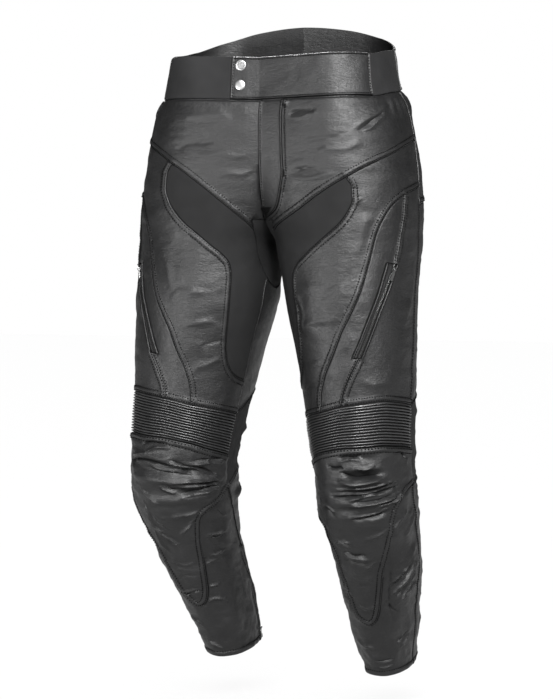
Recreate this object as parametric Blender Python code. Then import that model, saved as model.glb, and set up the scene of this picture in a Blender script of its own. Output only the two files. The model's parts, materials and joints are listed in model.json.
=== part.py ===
"""Motorcycle trousers of leather and stretch cloth, filled out and open at the waist and hems.

Metres, +Z up. The front faces -Y and the wearer's left side is +X. The origin is the middle
of the waist seam. The garment's skin is a family of level rings round each leg, which run
into one ring round the hips. Every cut piece is a patch of that skin between its seams,
given in pattern coordinates: an angle round the leg and a level down it.
"""
import math

import bmesh
import bpy
import numpy as np
from mathutils import Matrix, Vector
from mathutils.geometry import delaunay_2d_cdt

LEFT, RIGHT = 1, -1
SIDE_NAMES = {LEFT: "left", RIGHT: "right"}

# Walls and gaps
WALL = 0.0020
STRETCH_WALL = 0.0018
SEAM_GAP = 0.0003
FLY_LIFT = 0.0012
BAND_LIFT = 0.0010
SHIN_LIFT = 0.0016
WELT_LIFT = 0.0008
ZIP_SINK = 0.0008
ZIP_WALL = 0.0010

# Mesh steps: degrees round a leg, metres down it, and metres for one degree in the pattern
ANGLE_STEP = 12.0
LEVEL_STEP = 0.040
SEAM_STEP = 0.025
CURVE_STEP = 0.015
PATTERN_DEGREE = 0.0018
GRID_MARGIN = 0.010
FOLD_MARGIN = 0.005
PROBE_DEGREE = 0.2
PROBE_METRE = 0.0008
HALVINGS = 40
LINE_POINTS = 400
CROTCH_POINTS = 60
CROTCH_REACH = (-0.10, -0.33)
SHARPEST_TURN = 0.4
CDT_EPSILON = 1e-8

# Where each ring of the left leg reaches, from the middle plane and from the hips' middle
# level    inner   middle_x  outer   front   middle_y  back   square  slope
SECTIONS = (
    (0.130, -0.200, 0.095, 0.168, -0.106, 0.010, 0.122, 2.2, 0.00),
    (0.065, -0.200, 0.097, 0.178, -0.113, 0.006, 0.124, 2.2, 0.00),
    (0.000, -0.200, 0.100, 0.190, -0.121, 0.003, 0.127, 2.2, 0.00),
    (-0.020, -0.190, 0.102, 0.200, -0.126, 0.006, 0.133, 2.2, 0.00),
    (-0.050, -0.170, 0.104, 0.208, -0.129, 0.008, 0.139, 2.2, 0.00),
    (-0.090, -0.140, 0.106, 0.216, -0.131, 0.008, 0.145, 2.2, 0.00),
    (-0.140, -0.090, 0.110, 0.223, -0.133, 0.006, 0.147, 2.2, 0.00),
    (-0.200, -0.030, 0.115, 0.228, -0.135, 0.000, 0.141, 2.2, 0.00),
    (-0.240, 0.000, 0.117, 0.228, -0.137, -0.006, 0.132, 2.1, 0.00),
    (-0.330, 0.010, 0.120, 0.227, -0.143, -0.018, 0.108, 2.1, 0.00),
    (-0.405, 0.030, 0.130, 0.228, -0.142, -0.026, 0.090, 2.1, 0.00),
    (-0.478, 0.048, 0.138, 0.228, -0.140, -0.033, 0.074, 2.1, 0.05),
    (-0.543, 0.062, 0.145, 0.228, -0.146, -0.042, 0.058, 2.1, 0.10),
    (-0.600, 0.073, 0.150, 0.228, -0.143, -0.044, 0.052, 2.1, 0.12),
    (-0.648, 0.075, 0.150, 0.227, -0.129, -0.033, 0.059, 2.1, 0.12),
    (-0.697, 0.081, 0.150, 0.221, -0.099, -0.012, 0.073, 2.1, 0.12),
    (-0.745, 0.084, 0.148, 0.213, -0.069, 0.011, 0.091, 2.1, 0.12),
    (-0.794, 0.084, 0.142, 0.201, -0.041, 0.035, 0.110, 2.1, 0.13),
    (-0.842, 0.085, 0.137, 0.189, -0.013, 0.058, 0.128, 2.1, 0.14),
    (-0.883, 0.089, 0.134, 0.179, 0.009, 0.076, 0.142, 2.1, 0.16),
    (-0.915, 0.093, 0.133, 0.172, 0.024, 0.089, 0.152, 2.1, 0.18),
)

# How each leg stands: its shift to +X, its width, how far it hangs lower, and its turn
# level    lean    widen  drop   turn
POSES = {
    LEFT: (
        (0.130, 0.000, 1.00, 0.000, 0.0),
        (-0.245, 0.000, 1.00, 0.000, 0.0),
        (-0.330, 0.004, 0.94, 0.000, 0.0),
        (-0.500, 0.003, 0.94, 0.008, 3.0),
        (-0.650, 0.006, 0.96, 0.012, 5.0),
        (-0.750, 0.014, 0.98, 0.014, 6.0),
        (-0.850, 0.023, 0.97, 0.014, 5.0),
        (-0.915, 0.028, 0.93, 0.014, 3.0),
    ),
    RIGHT: (
        (0.130, 0.000, 1.00, 0.000, 0.0),
        (-0.245, 0.000, 1.00, 0.000, 0.0),
        (-0.330, -0.001, 1.04, 0.000, 0.0),
        (-0.500, 0.000, 1.04, 0.000, 3.0),
        (-0.650, 0.000, 1.03, 0.000, 5.0),
        (-0.750, 0.005, 1.00, -0.002, 6.0),
        (-0.850, 0.013, 1.00, -0.002, 5.0),
        (-0.915, 0.020, 1.00, -0.002, 3.0),
    ),
}

# The waist seam dips at the front and rises at the back
# angle   rise
WAIST_RISE = (
    (-60.0, -0.0185),
    (-20.0, -0.0150),
    (20.0, -0.0120),
    (45.0, -0.0110),
    (70.0, -0.0040),
    (100.0, 0.0010),
    (130.0, 0.0080),
    (160.0, 0.0240),
    (190.0, 0.0380),
    (222.0, 0.0440),
    (240.0, 0.0440),
)
RISE_FADES_TO = -0.160

# The band's height above the waist seam
# angle   height
BAND_HEIGHT = (
    (-60.0, 0.066),
    (20.0, 0.067),
    (70.0, 0.066),
    (100.0, 0.066),
    (130.0, 0.068),
    (222.0, 0.073),
    (240.0, 0.073),
)
BAND_TAB_END = -23.5
BAND_LEATHER_END = 42.0
BAND_MID_SHARES = (0.33, 0.66)
BAND_MIDDLE_ANGLE = 1.0
BAND_BACK_START = 112.0

# Seams of one leg as angle and level. The last column of the first two is how much
# lower they run on the left leg than on the middle line, and higher on the right.
# angle   level    sway
V_SEAM = (
    (95.0, -0.070, 0.006),
    (65.0, -0.080, 0.009),
    (38.0, -0.096, 0.013),
    (10.0, -0.131, 0.013),
    (-4.0, -0.153, 0.011),
    (-20.0, -0.180, 0.009),
    (-33.0, -0.200, 0.005),
    (-48.0, -0.222, 0.000),
)
LEAF_START = 14.0
LEAF_SEAM = (
    (17.5, -0.143, 0.011),
    (17.5, -0.162, 0.010),
    (14.0, -0.182, 0.009),
    (9.0, -0.198, 0.009),
    (2.0, -0.214, 0.008),
    (-8.0, -0.232, 0.008),
    (-18.0, -0.250, 0.008),
    (-27.0, -0.265, 0.008),
    (-33.0, -0.280, 0.008),
    (-35.0, -0.300, 0.006),
    (-35.0, -0.330, 0.004),
    (-37.0, -0.365, 0.002),
    (-41.0, -0.405, 0.000),
    (-47.0, -0.432, 0.000),
    (-57.0, -0.448, 0.000),
    (-73.0, -0.458, 0.000),
)
# angle   level
OUTSEAM = (
    (98.0, 0.000),
    (98.0, -0.050),
    (95.0, -0.100),
    (91.0, -0.155),
    (88.0, -0.200),
    (91.0, -0.270),
    (91.0, -0.330),
    (88.0, -0.480),
    (89.0, -0.550),
    (92.0, -0.605),
    (96.0, -0.650),
    (99.0, -0.700),
    (97.0, -0.750),
    (91.0, -0.800),
    (88.0, -0.860),
    (88.0, -0.915),
)
INSEAM_TOP_ANGLE = -71.0
INSEAM = (
    (-68.5, -0.305),
    (-67.5, -0.330),
    (-68.0, -0.365),
    (-70.0, -0.400),
    (-73.0, -0.458),
    (-74.0, -0.510),
    (-75.0, -0.575),
    (-82.0, -0.625),
    (-96.0, -0.682),
    (-106.0, -0.720),
    (-112.0, -0.755),
    (-117.0, -0.790),
    (-120.0, -0.830),
    (-122.0, -0.880),
    (-122.0, -0.915),
)
OUTER_CURVE = (
    (91.4, -0.150),
    (61.0, -0.165),
    (48.0, -0.180),
    (40.0, -0.200),
    (35.0, -0.222),
    (30.0, -0.264),
    (23.0, -0.314),
    (15.0, -0.349),
    (6.0, -0.378),
    (-2.0, -0.409),
    (-12.0, -0.442),
    (-17.0, -0.466),
    (-19.0, -0.488),
)
POCKET_START = 61.0
POCKET_UPPER = (
    (61.0, -0.165),
    (59.0, -0.190),
    (56.5, -0.220),
    (52.0, -0.272),
)
POCKET_ZIP = (
    (52.0, -0.272),
    (45.0, -0.308),
    (36.0, -0.346),
    (28.0, -0.378),
    (19.0, -0.413),
)
POCKET_LOWER = (
    (19.0, -0.413),
    (11.0, -0.438),
    (5.0, -0.460),
    (2.0, -0.479),
)
WELT_LINE = (
    (43.5, -0.270),
    (36.0, -0.320),
    (23.5, -0.374),
    (13.0, -0.414),
)
KNEE_TOP = (
    (88.0, -0.485),
    (60.0, -0.477),
    (40.0, -0.473),
    (20.0, -0.475),
    (2.0, -0.479),
    (-19.0, -0.488),
    (-35.0, -0.494),
    (-54.0, -0.502),
    (-74.0, -0.510),
)
KNEE_BOTTOM = (
    (89.0, -0.550),
    (57.0, -0.540),
    (33.0, -0.535),
    (5.0, -0.536),
    (-20.0, -0.544),
    (-43.0, -0.558),
    (-75.0, -0.575),
)
SHIN_SEAM = (
    (92.0, -0.605),
    (70.0, -0.612),
    (54.0, -0.632),
    (46.0, -0.662),
    (37.0, -0.700),
    (26.0, -0.738),
    (21.0, -0.775),
    (17.0, -0.800),
    (10.0, -0.819),
    (0.0, -0.826),
    (-10.0, -0.820),
    (-18.0, -0.804),
    (-24.0, -0.778),
    (-29.0, -0.745),
    (-32.0, -0.705),
    (-37.0, -0.668),
    (-60.0, -0.647),
    (-82.0, -0.625),
)
BACK_YOKE_SEAM = (
    (89.5, -0.178),
    (120.0, -0.172),
    (150.0, -0.156),
    (185.0, -0.138),
    (222.0, -0.128),
)
BACK_KNEE_TOP = (
    (88.0, -0.485),
    (135.0, -0.474),
    (190.0, -0.470),
    (240.0, -0.482),
    (286.0, -0.510),
)
BACK_KNEE_BOTTOM = (
    (92.0, -0.605),
    (140.0, -0.600),
    (190.0, -0.598),
    (235.0, -0.606),
    (278.0, -0.625),
)

# Fly, gusset and zips
FLY_SEAM = (
    (-26.0, 0.000),
    (-25.5, -0.060),
    (-26.0, -0.120),
    (-30.0, -0.160),
    (-36.0, -0.186),
)
GUSSET_TOP = -0.2035
GUSSET_HALF = 0.017
GUSSET_BACK = -0.190
GUSSET_END_GAP = 0.0007
GUSSET_END_ANGLE = 1.0
GUSSET_MID_SHARE = 0.5
ANKLE_ZIP_TOP = -0.745
ANKLE_ZIP_TOP_SPREAD = 2.6
ANKLE_ZIP_HEM_SPREAD = 5.0
POCKET_ZIP_SPREAD = 1.9
HEM = -0.915

# Knee ribs
RIB_COUNT = 15
RIB_HEIGHT = 0.0020
RIB_END_MARGIN = 5.0
RIB_COLUMNS = 15
RIB_PLAIN_ROWS = (0.25, 0.50, 0.75)

# Folds that show from a step away: a ridge, or a trough where the height is below nothing
# side, first angle, first level, last angle, last level, half width, height
FOLDS = (
    (RIGHT, 41.0, -0.580, -35.0, -0.592, 0.009, -0.0055),
    (RIGHT, 30.0, -0.566, -20.0, -0.572, 0.009, 0.0045),
    (RIGHT, -6.0, -0.576, -42.0, -0.583, 0.007, 0.0035),
    (RIGHT, 36.0, -0.600, -71.0, -0.609, 0.009, 0.0045),
    (RIGHT, -7.0, -0.619, -67.0, -0.623, 0.007, -0.0035),
    (RIGHT, 20.0, -0.636, -52.0, -0.634, 0.009, 0.0040),
    (LEFT, -2.0, -0.552, 34.0, -0.549, 0.007, -0.0035),
    (LEFT, 0.0, -0.572, 42.0, -0.574, 0.008, -0.0055),
    (LEFT, -24.0, -0.586, 42.0, -0.583, 0.008, 0.0045),
    (LEFT, -14.0, -0.605, 44.0, -0.597, 0.008, -0.0040),
    (LEFT, -20.0, -0.621, 65.0, -0.612, 0.009, 0.0045),
    (LEFT, 5.0, -0.640, 55.0, -0.631, 0.008, -0.0035),
    (LEFT, 45.0, -0.768, 96.0, -0.722, 0.009, 0.0040),
    (LEFT, 40.0, -0.742, 88.0, -0.700, 0.009, 0.0035),
    (RIGHT, 42.0, -0.765, 92.0, -0.724, 0.009, 0.0035),
    (RIGHT, 262.0, -0.655, 215.0, -0.640, 0.009, 0.0040),
    (LEFT, 262.0, -0.655, 215.0, -0.640, 0.009, 0.0040),
    (RIGHT, 110.0, -0.500, 235.0, -0.508, 0.010, 0.0050),
    (LEFT, 110.0, -0.500, 235.0, -0.508, 0.010, 0.0050),
    (RIGHT, 120.0, -0.535, 255.0, -0.545, 0.010, 0.0060),
    (LEFT, 120.0, -0.535, 255.0, -0.545, 0.010, 0.0060),
    (RIGHT, 115.0, -0.570, 245.0, -0.580, 0.010, 0.0050),
    (LEFT, 115.0, -0.570, 245.0, -0.580, 0.010, 0.0050),
    (RIGHT, 130.0, -0.870, 190.0, -0.850, 0.010, 0.0040),
    (LEFT, 130.0, -0.870, 190.0, -0.850, 0.010, 0.0040),
)
FOLD_POINT_STEP = 0.020
FOLD_FULLNESS = 0.7
FOLD_POINT_REACH = (0.08, 0.92)
FOLD_POINT_OFFSETS = (-0.95, 0.0, 0.95)

# Gathers below the side of the waistband
GATHER_ANGLES = (62.0, 74.0, 86.0, 108.0, 120.0)
GATHER_LENGTH = 0.038
GATHER_HALF_WIDTH = 0.010
GATHER_HEIGHT = 0.0030

# Snaps on the band's tab
SNAP_ANGLE = -29.5
SNAP_HEIGHTS = (0.053, 0.022)
SNAP_SEAT = 0.0004
SNAP_SIDES = 24
# radius   height
SNAP_PROFILE = (
    (0.0086, 0.0000),
    (0.0088, 0.0008),
    (0.0080, 0.0022),
    (0.0066, 0.0028),
    (0.0048, 0.0025),
)
SNAP_CENTRE_HEIGHT = 0.0027

# Zip sliders and pull tabs
SLIDER_LENGTH = 0.0096
SLIDER_WIDTH = 0.0060
SLIDER_PLATE = 0.0014
SLIDER_TOP = 0.0044
SLIDER_EAR = 0.0012
SLIDER_SEAT = 0.0005
SLIDER_NOSE = 0.72
SLIDER_TAIL = 0.88
SLIDER_AIM_SHARE = 0.05
PULL_EYE_INNER = 0.0012
PULL_EYE_OUTER = 0.0021
PULL_EYE_WIDTH = 0.0034
PULL_EYE_SIDES = 12
PULL_LENGTH = 0.0190
PULL_TAB_WIDTH = 0.0056
PULL_NECK = 0.0022
PULL_SHOULDER = 0.0012
PULL_TIP = 0.0016
PULL_TIP_SHARE = 0.72
PULL_TAB_THICKNESS = 0.0012
POCKET_SLIDER_PLACE = 0.06
ANKLE_SLIDER_LEVEL = -0.893

# name: colour, roughness, metallic
MATERIALS = {
    "leather": ((0.020, 0.020, 0.021), 0.42, 0.0),
    "stretch_cloth": ((0.010, 0.010, 0.011), 0.85, 0.0),
    "elastic_band": ((0.013, 0.013, 0.014), 0.75, 0.0),
    "zip_tape": ((0.006, 0.006, 0.006), 0.80, 0.0),
    "silver_metal": ((0.62, 0.62, 0.62), 0.28, 1.0),
    "dark_metal": ((0.10, 0.10, 0.10), 0.40, 1.0),
}


def read_table(rows, keys):
    """Give a table's columns at the keys, along monotone cubics through its rows."""
    table = np.array(rows, float)
    table = table[np.argsort(table[:, 0])]
    knots = table[:, 0]
    values = table[:, 1:]
    step = np.diff(knots)[:, None]
    slope = np.diff(values, axis=0) / step
    same_way = slope[:-1] * slope[1:] > 0
    before = np.where(same_way, slope[:-1], 1.0)
    after = np.where(same_way, slope[1:], 1.0)
    weight_before = 2 * step[1:] + step[:-1]
    weight_after = step[1:] + 2 * step[:-1]
    mean = (weight_before + weight_after) / (weight_before / before + weight_after / after)
    tangent = np.zeros_like(values)
    tangent[0] = slope[0]
    tangent[-1] = slope[-1]
    tangent[1:-1] = np.where(same_way, mean, 0.0)
    keys = np.clip(np.asarray(keys, float), knots[0], knots[-1])
    row = np.clip(np.searchsorted(knots, keys, side="right") - 1, 0, len(step) - 1)
    width = step[row, 0][..., None]
    t = (keys[..., None] - knots[row][..., None]) / width
    ease = t * t * (3 - 2 * t)
    leave = t * (1 - t) ** 2 * width * tangent[row]
    arrive = t * t * (t - 1) * width * tangent[row + 1]
    return (1 - ease) * values[row] + ease * values[row + 1] + leave + arrive


def waist_rise(angle, level):
    """Give how far the waist's dip lifts a point, fading out down the hips."""
    fade = np.clip(1 - level / RISE_FADES_TO, 0.0, 1.0)
    fade = fade * fade * (3 - 2 * fade)
    return read_table(WAIST_RISE, angle)[..., 0] * fade


def skin_point(angle, level, side):
    """Give the smooth skin's point at an angle round a leg and a level down it."""
    angle, level = np.broadcast_arrays(np.asarray(angle, float), np.asarray(level, float))
    ring = read_table(SECTIONS, level)
    inner, middle_x, outer, front, middle_y, back, square, slope = np.moveaxis(ring, -1, 0)
    lean, widen, drop, turn = np.moveaxis(read_table(POSES[side], level), -1, 0)
    across = np.sin(np.radians(angle))
    along = -np.cos(np.radians(angle))
    half_x = np.where(across > 0, outer - middle_x, middle_x - inner)
    half_y = np.where(along < 0, middle_y - front, back - middle_y)
    bulk = (np.abs(across) / half_x) ** square + (np.abs(along) / half_y) ** square
    reach = bulk ** (-1 / square)
    aside = side * reach * across * widen
    ahead = reach * along
    turn = np.radians(turn)
    x = side * middle_x + lean + aside * np.cos(turn) + ahead * np.sin(turn)
    y = middle_y - aside * np.sin(turn) + ahead * np.cos(turn)
    z = level + waist_rise(angle, level) - drop + slope * (y - middle_y)
    return np.stack([x, y, z], -1)


def skin_frame(angle, level, side):
    """Give the skin's directions for one degree and for one metre of level, and its normal."""
    angle = np.asarray(angle, float)
    level = np.asarray(level, float)
    ahead = skin_point(angle + PROBE_DEGREE, level, side)
    behind = skin_point(angle - PROBE_DEGREE, level, side)
    round_leg = (ahead - behind) / (2 * PROBE_DEGREE)
    above = skin_point(angle, level + PROBE_METRE, side)
    below = skin_point(angle, level - PROBE_METRE, side)
    up_leg = (above - below) / (2 * PROBE_METRE)
    normal = side * np.cross(round_leg, up_leg)
    normal /= np.linalg.norm(normal, axis=-1, keepdims=True)
    return round_leg, up_leg, normal


def all_folds(side):
    """Give a side's folds and its gathers as rows of the same columns."""
    rows = [row[1:] for row in FOLDS if row[0] == side]
    for angle in GATHER_ANGLES:
        rows.append((angle, -0.004, angle, -GATHER_LENGTH, GATHER_HALF_WIDTH, GATHER_HEIGHT))
    return rows


def fold_height(angle, level, side):
    """Give how far the folds lift the skin."""
    height = np.zeros(np.broadcast(angle, level).shape)
    for angle_a, level_a, angle_b, level_b, half_width, lift in all_folds(side):
        start = np.array([angle_a * PATTERN_DEGREE, level_a])
        way = np.array([angle_b * PATTERN_DEGREE, level_b]) - start
        length = np.linalg.norm(way)
        turned = (angle + 360 * np.round(((angle_a + angle_b) / 2 - angle) / 360))
        across_x = turned * PATTERN_DEGREE - start[0]
        across_y = level - start[1]
        along = (across_x * way[0] + across_y * way[1]) / length
        aside = (across_y * way[0] - across_x * way[1]) / length
        swell = np.clip(1 - (2 * along / length - 1) ** 2, 0.0, 1.0) ** FOLD_FULLNESS
        swell = np.where((along > 0) & (along < length), swell, 0.0)
        height += lift * swell * np.clip(1 - (aside / half_width) ** 2, 0.0, 1.0) ** 2
    return height


def cloth_point(angle, level, side, lift):
    """Give a point of the cloth, folds and all, at a lift above the skin."""
    normal = skin_frame(angle, level, side)[2]
    rise = fold_height(angle, level, side) + lift
    return skin_point(angle, level, side) + normal * np.asarray(rise)[..., None]


def middle_angle(level, back=False, aside=0.0):
    """Give the angle at which a ring is a given distance from the middle plane."""
    inside = 180.0 if back else 0.0
    outside = 270.0 if back else -90.0
    for _ in range(HALVINGS):
        middle = (inside + outside) / 2
        if skin_point(middle, level, LEFT)[0] > aside:
            inside = middle
        else:
            outside = middle
    return (inside + outside) / 2


def crotch_level(angle, aside):
    """Give the level at which the skin at an angle is a given distance from the middle plane."""
    above, below = CROTCH_REACH
    for _ in range(HALVINGS):
        middle = (above + below) / 2
        if skin_point(angle, middle, LEFT)[0] < aside:
            above = middle
        else:
            below = middle
    return (above + below) / 2


def dense_line(rows):
    """Give a smooth line through a table's rows as many close pattern points."""
    rows = np.array(rows, float)[:, :2]
    steps = np.hypot(np.diff(rows[:, 0]) * PATTERN_DEGREE, np.diff(rows[:, 1]))
    travelled = np.concatenate([[0.0], np.cumsum(steps)])
    table = np.column_stack([travelled, rows])
    return read_table(table, np.linspace(0.0, travelled[-1], LINE_POINTS))


def resample(line, step):
    """Space a line's points evenly, about a step apart, keeping both ends."""
    steps = np.hypot(np.diff(line[:, 0]) * PATTERN_DEGREE, np.diff(line[:, 1]))
    travelled = np.concatenate([[0.0], np.cumsum(steps)])
    count = max(1, round(travelled[-1] / step))
    places = np.linspace(0.0, travelled[-1], count + 1)
    angles = np.interp(places, travelled, line[:, 0])
    return np.column_stack([angles, np.interp(places, travelled, line[:, 1])])


def split_line(line, points, step):
    """Cut a line at the places nearest some points and space each part's points."""
    places = [0]
    for point in points:
        apart = np.hypot((line[:, 0] - point[0]) * PATTERN_DEGREE, line[:, 1] - point[1])
        place = int(np.argmin(apart))
        line[place] = point
        places.append(place)
    places.append(len(line) - 1)
    return [resample(line[a:b + 1], step) for a, b in zip(places, places[1:])]


def level_on(line, angle):
    """Give a line's level where it crosses an angle."""
    order = np.argsort(line[:, 0])
    return float(np.interp(angle, line[order, 0], line[order, 1]))


def angle_on(line, level):
    """Give a line's angle where it crosses a level."""
    order = np.argsort(line[:, 1])
    return float(np.interp(level, line[order, 1], line[order, 0]))


def straight(start, end, step=SEAM_STEP):
    """Give a straight pattern line between two points."""
    return resample(np.array([start, end], float), step)


def swayed(rows, side):
    """Shift a seam's rows down on the left leg and up on the right."""
    return [(angle, level - side * sway) for angle, level, sway in rows]


def middle_line(levels, back):
    """Give the middle plane's pattern line between two levels."""
    count = max(2, round(abs(levels[1] - levels[0]) / SEAM_STEP) + 1)
    heights = np.linspace(levels[0], levels[1], count)
    return np.array([(middle_angle(level, back), level) for level in heights])


def crotch_line(first_angle, last_angle, aside, step):
    """Give the line along the crotch at a distance from the middle plane."""
    angles = np.linspace(first_angle, last_angle, CROTCH_POINTS)
    line = np.array([(angle, crotch_level(angle, aside)) for angle in angles])
    return resample(line, step)


def leg_seams(side):
    """Give every seam of one leg as named pattern lines that its neighbours share."""
    seams = {}
    front_angle = middle_angle(0.0)
    back_angle = middle_angle(0.0, back=True)

    # The middle plane, the fly and the crotch gusset
    fly_foot = (middle_angle(GUSSET_TOP), GUSSET_TOP)
    seams["centre_front"] = middle_line((0.0, GUSSET_TOP), back=False)
    fly_rows = list(FLY_SEAM) + [fly_foot]
    seams["fly"] = resample(dense_line(fly_rows), CURVE_STEP)
    corner_front = (middle_angle(GUSSET_TOP, aside=GUSSET_HALF), GUSSET_TOP)
    seams["gusset_top"] = np.linspace(fly_foot, corner_front, 3)
    v_rows = swayed(V_SEAM, side)
    v_end = (v_rows[-1][0], crotch_level(v_rows[-1][0], GUSSET_HALF))
    inseam_top = (INSEAM_TOP_ANGLE, crotch_level(INSEAM_TOP_ANGLE, GUSSET_HALF))
    corner_back = (middle_angle(GUSSET_BACK, back=True, aside=GUSSET_HALF) - 360, GUSSET_BACK)
    seams["gusset_yoke"] = np.array([corner_front, v_end])
    seams["gusset_groin"] = crotch_line(v_end[0], inseam_top[0], GUSSET_HALF, CURVE_STEP)
    seams["gusset_back"] = crotch_line(inseam_top[0], corner_back[0], GUSSET_HALF, CURVE_STEP)
    seams["gusset_back"][-1] = corner_back
    back_foot = (middle_angle(GUSSET_BACK, back=True) - 360, GUSSET_BACK)
    seams["gusset_end"] = np.linspace(corner_back, back_foot, 3)

    # The outseam, cut where other seams meet it
    outseam = dense_line(OUTSEAM)
    outseam_points = [(angle_on(outseam, level), level) for level in (
        v_rows[0][1], OUTER_CURVE[0][1], BACK_YOKE_SEAM[0][1], KNEE_TOP[0][1],
        KNEE_BOTTOM[0][1], SHIN_SEAM[0][1])]
    names = ("out_yoke", "out_hip", "out_side_top", "out_side", "out_knee", "out_shin",
             "out_lower")
    seams.update(zip(names, split_line(outseam, outseam_points, SEAM_STEP)))
    v_start, curve_start, back_yoke_start, knee_out, knee_low_out, shin_out = outseam_points

    # The inseam, cut likewise, then parted round the ankle zip
    inseam = dense_line([inseam_top] + list(INSEAM))
    inseam_points = [(angle_on(inseam, level), level) for level in (
        LEAF_SEAM[-1][1], KNEE_TOP[-1][1], KNEE_BOTTOM[-1][1], SHIN_SEAM[-1][1],
        ANKLE_ZIP_TOP)]
    names = ("in_groin", "in_thigh", "in_knee", "in_shin", "in_lower", "in_zip")
    seams.update(zip(names, split_line(inseam, inseam_points, SEAM_STEP)))
    leaf_end, knee_in, knee_low_in, shin_in, zip_top = inseam_points
    zip_line = seams.pop("in_zip")
    spread = read_table(
        ((HEM, ANKLE_ZIP_HEM_SPREAD), (ANKLE_ZIP_TOP, ANKLE_ZIP_TOP_SPREAD)),
        zip_line[:, 1])[:, 0]
    seams["ankle_front"] = np.column_stack([zip_line[:, 0] + spread, zip_line[:, 1]])
    seams["ankle_back"] = np.column_stack([zip_line[:, 0] - spread, zip_line[:, 1]])
    seams["ankle_top_front"] = np.array([zip_top, seams["ankle_front"][0]])
    seams["ankle_top_back"] = np.array([zip_top, seams["ankle_back"][0]])

    # The V seam and the leaf-shaped groin panel
    v_line = dense_line([v_start] + v_rows[1:-1] + [v_end])
    leaf_top = (LEAF_START, level_on(v_line, LEAF_START))
    seams["v_hip"], seams["v_groin"] = split_line(v_line, [leaf_top], SEAM_STEP)
    leaf_rows = [leaf_top] + swayed(LEAF_SEAM, side)[:-1] + [leaf_end]
    seams["leaf"] = resample(dense_line(leaf_rows), CURVE_STEP)

    # The knee's seams, cut where the thigh's curves reach them
    curve_foot = (OUTER_CURVE[-1][0], level_on(dense_line(KNEE_TOP), OUTER_CURVE[-1][0]))
    pocket_foot = (POCKET_LOWER[-1][0], level_on(dense_line(KNEE_TOP), POCKET_LOWER[-1][0]))
    knee_rows = [knee_out] + list(KNEE_TOP[1:-1]) + [knee_in]
    names = ("knee_top_side", "knee_top_pocket", "knee_top_thigh")
    knee_line = dense_line(knee_rows)
    seams.update(zip(names, split_line(knee_line, [pocket_foot, curve_foot], CURVE_STEP)))
    knee_low_rows = [knee_low_out] + list(KNEE_BOTTOM[1:-1]) + [knee_low_in]
    seams["knee_bottom"] = resample(dense_line(knee_low_rows), CURVE_STEP)
    shin_rows = [shin_out] + list(SHIN_SEAM[1:-1]) + [shin_in]
    seams["shin"] = resample(dense_line(shin_rows), CURVE_STEP)

    # The outer curve and the pocket
    curve_rows = [curve_start] + list(OUTER_CURVE[1:-1]) + [curve_foot]
    curve_line = dense_line(curve_rows)
    pocket_head = (POCKET_START, level_on(curve_line, POCKET_START))
    names = ("curve_hip", "curve_thigh")
    seams.update(zip(names, split_line(curve_line, [pocket_head], CURVE_STEP)))
    seams["pocket_upper"] = resample(
        dense_line([pocket_head] + list(POCKET_UPPER[1:])), SEAM_STEP)
    seams["pocket_lower"] = resample(
        dense_line(list(POCKET_LOWER[:-1]) + [pocket_foot]), SEAM_STEP)
    zip_line = resample(dense_line(POCKET_ZIP), SEAM_STEP)
    shift = np.array([POCKET_ZIP_SPREAD, 0.0])
    seams["zip_front"] = zip_line - shift
    seams["zip_back"] = zip_line + shift
    for name, place in (("top", 0), ("bottom", -1)):
        seams[f"zip_{name}_front"] = np.array([zip_line[place], zip_line[place] - shift])
        seams[f"zip_{name}_back"] = np.array([zip_line[place], zip_line[place] + shift])
        welt_corner = WELT_LINE[place]
        seams[f"welt_{name}"] = np.array([zip_line[place] - shift, welt_corner])
    seams["welt_side"] = resample(dense_line(WELT_LINE), SEAM_STEP)

    # The back's seams
    yoke_end = (middle_angle(BACK_YOKE_SEAM[-1][1], back=True), BACK_YOKE_SEAM[-1][1])
    back_rows = [back_yoke_start] + list(BACK_YOKE_SEAM[1:-1]) + [yoke_end]
    seams["back_yoke"] = resample(dense_line(back_rows), SEAM_STEP)
    seams["centre_back_yoke"] = middle_line((0.0, yoke_end[1]), back=True)
    seams["centre_back"] = middle_line((yoke_end[1], GUSSET_BACK), back=True)
    turn = np.array([360.0, 0.0])
    rows = [knee_out] + list(BACK_KNEE_TOP[1:-1]) + [tuple(np.array(knee_in) + turn)]
    seams["back_knee_top"] = resample(dense_line(rows), SEAM_STEP)
    rows = [shin_out] + list(BACK_KNEE_BOTTOM[1:-1]) + [tuple(np.array(shin_in) + turn)]
    seams["back_knee_bottom"] = resample(dense_line(rows), SEAM_STEP)

    # The waist seam, the band's ends and the hems
    hem_out = (outseam[-1][0], HEM)
    seams["hem_front"] = straight(hem_out, seams["ankle_front"][-1], CURVE_STEP)
    seams["hem_back"] = straight(hem_out, seams["ankle_back"][-1] + turn, CURVE_STEP)
    seams["hem_zip"] = np.array([seams["ankle_front"][-1], seams["ankle_back"][-1]])
    cuts = {
        "front": front_angle,
        "fly": FLY_SEAM[0][0],
        "tab": BAND_TAB_END,
        "leather": BAND_LEATHER_END,
        "outseam": outseam[0][0],
        "stretch": BAND_BACK_START,
        "back": back_angle,
    }
    order = ("front", "fly", "tab", "leather", "outseam", "stretch", "back")
    for first, last in zip(order, order[1:]):
        seams[f"waist_{first}"] = straight((cuts[first], 0.0), (cuts[last], 0.0))
    return seams


def join_loop(seams, names):
    """Join named seams end to end into one closed loop. A minus sign turns a seam round."""
    loop = []
    for name in names:
        turned = 360.0 if name.endswith("+360") else 0.0
        name = name.replace("+360", "")
        line = seams[name.lstrip("-")]
        if name.startswith("-"):
            line = line[::-1]
        line = line + np.array([turned, 0.0])
        loop.extend(line[:-1])
    return np.array(loop)


def flat_points(points):
    """Give pattern points in metres on the flat."""
    return np.column_stack([points[:, 0] * PATTERN_DEGREE, points[:, 1]])


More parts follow.
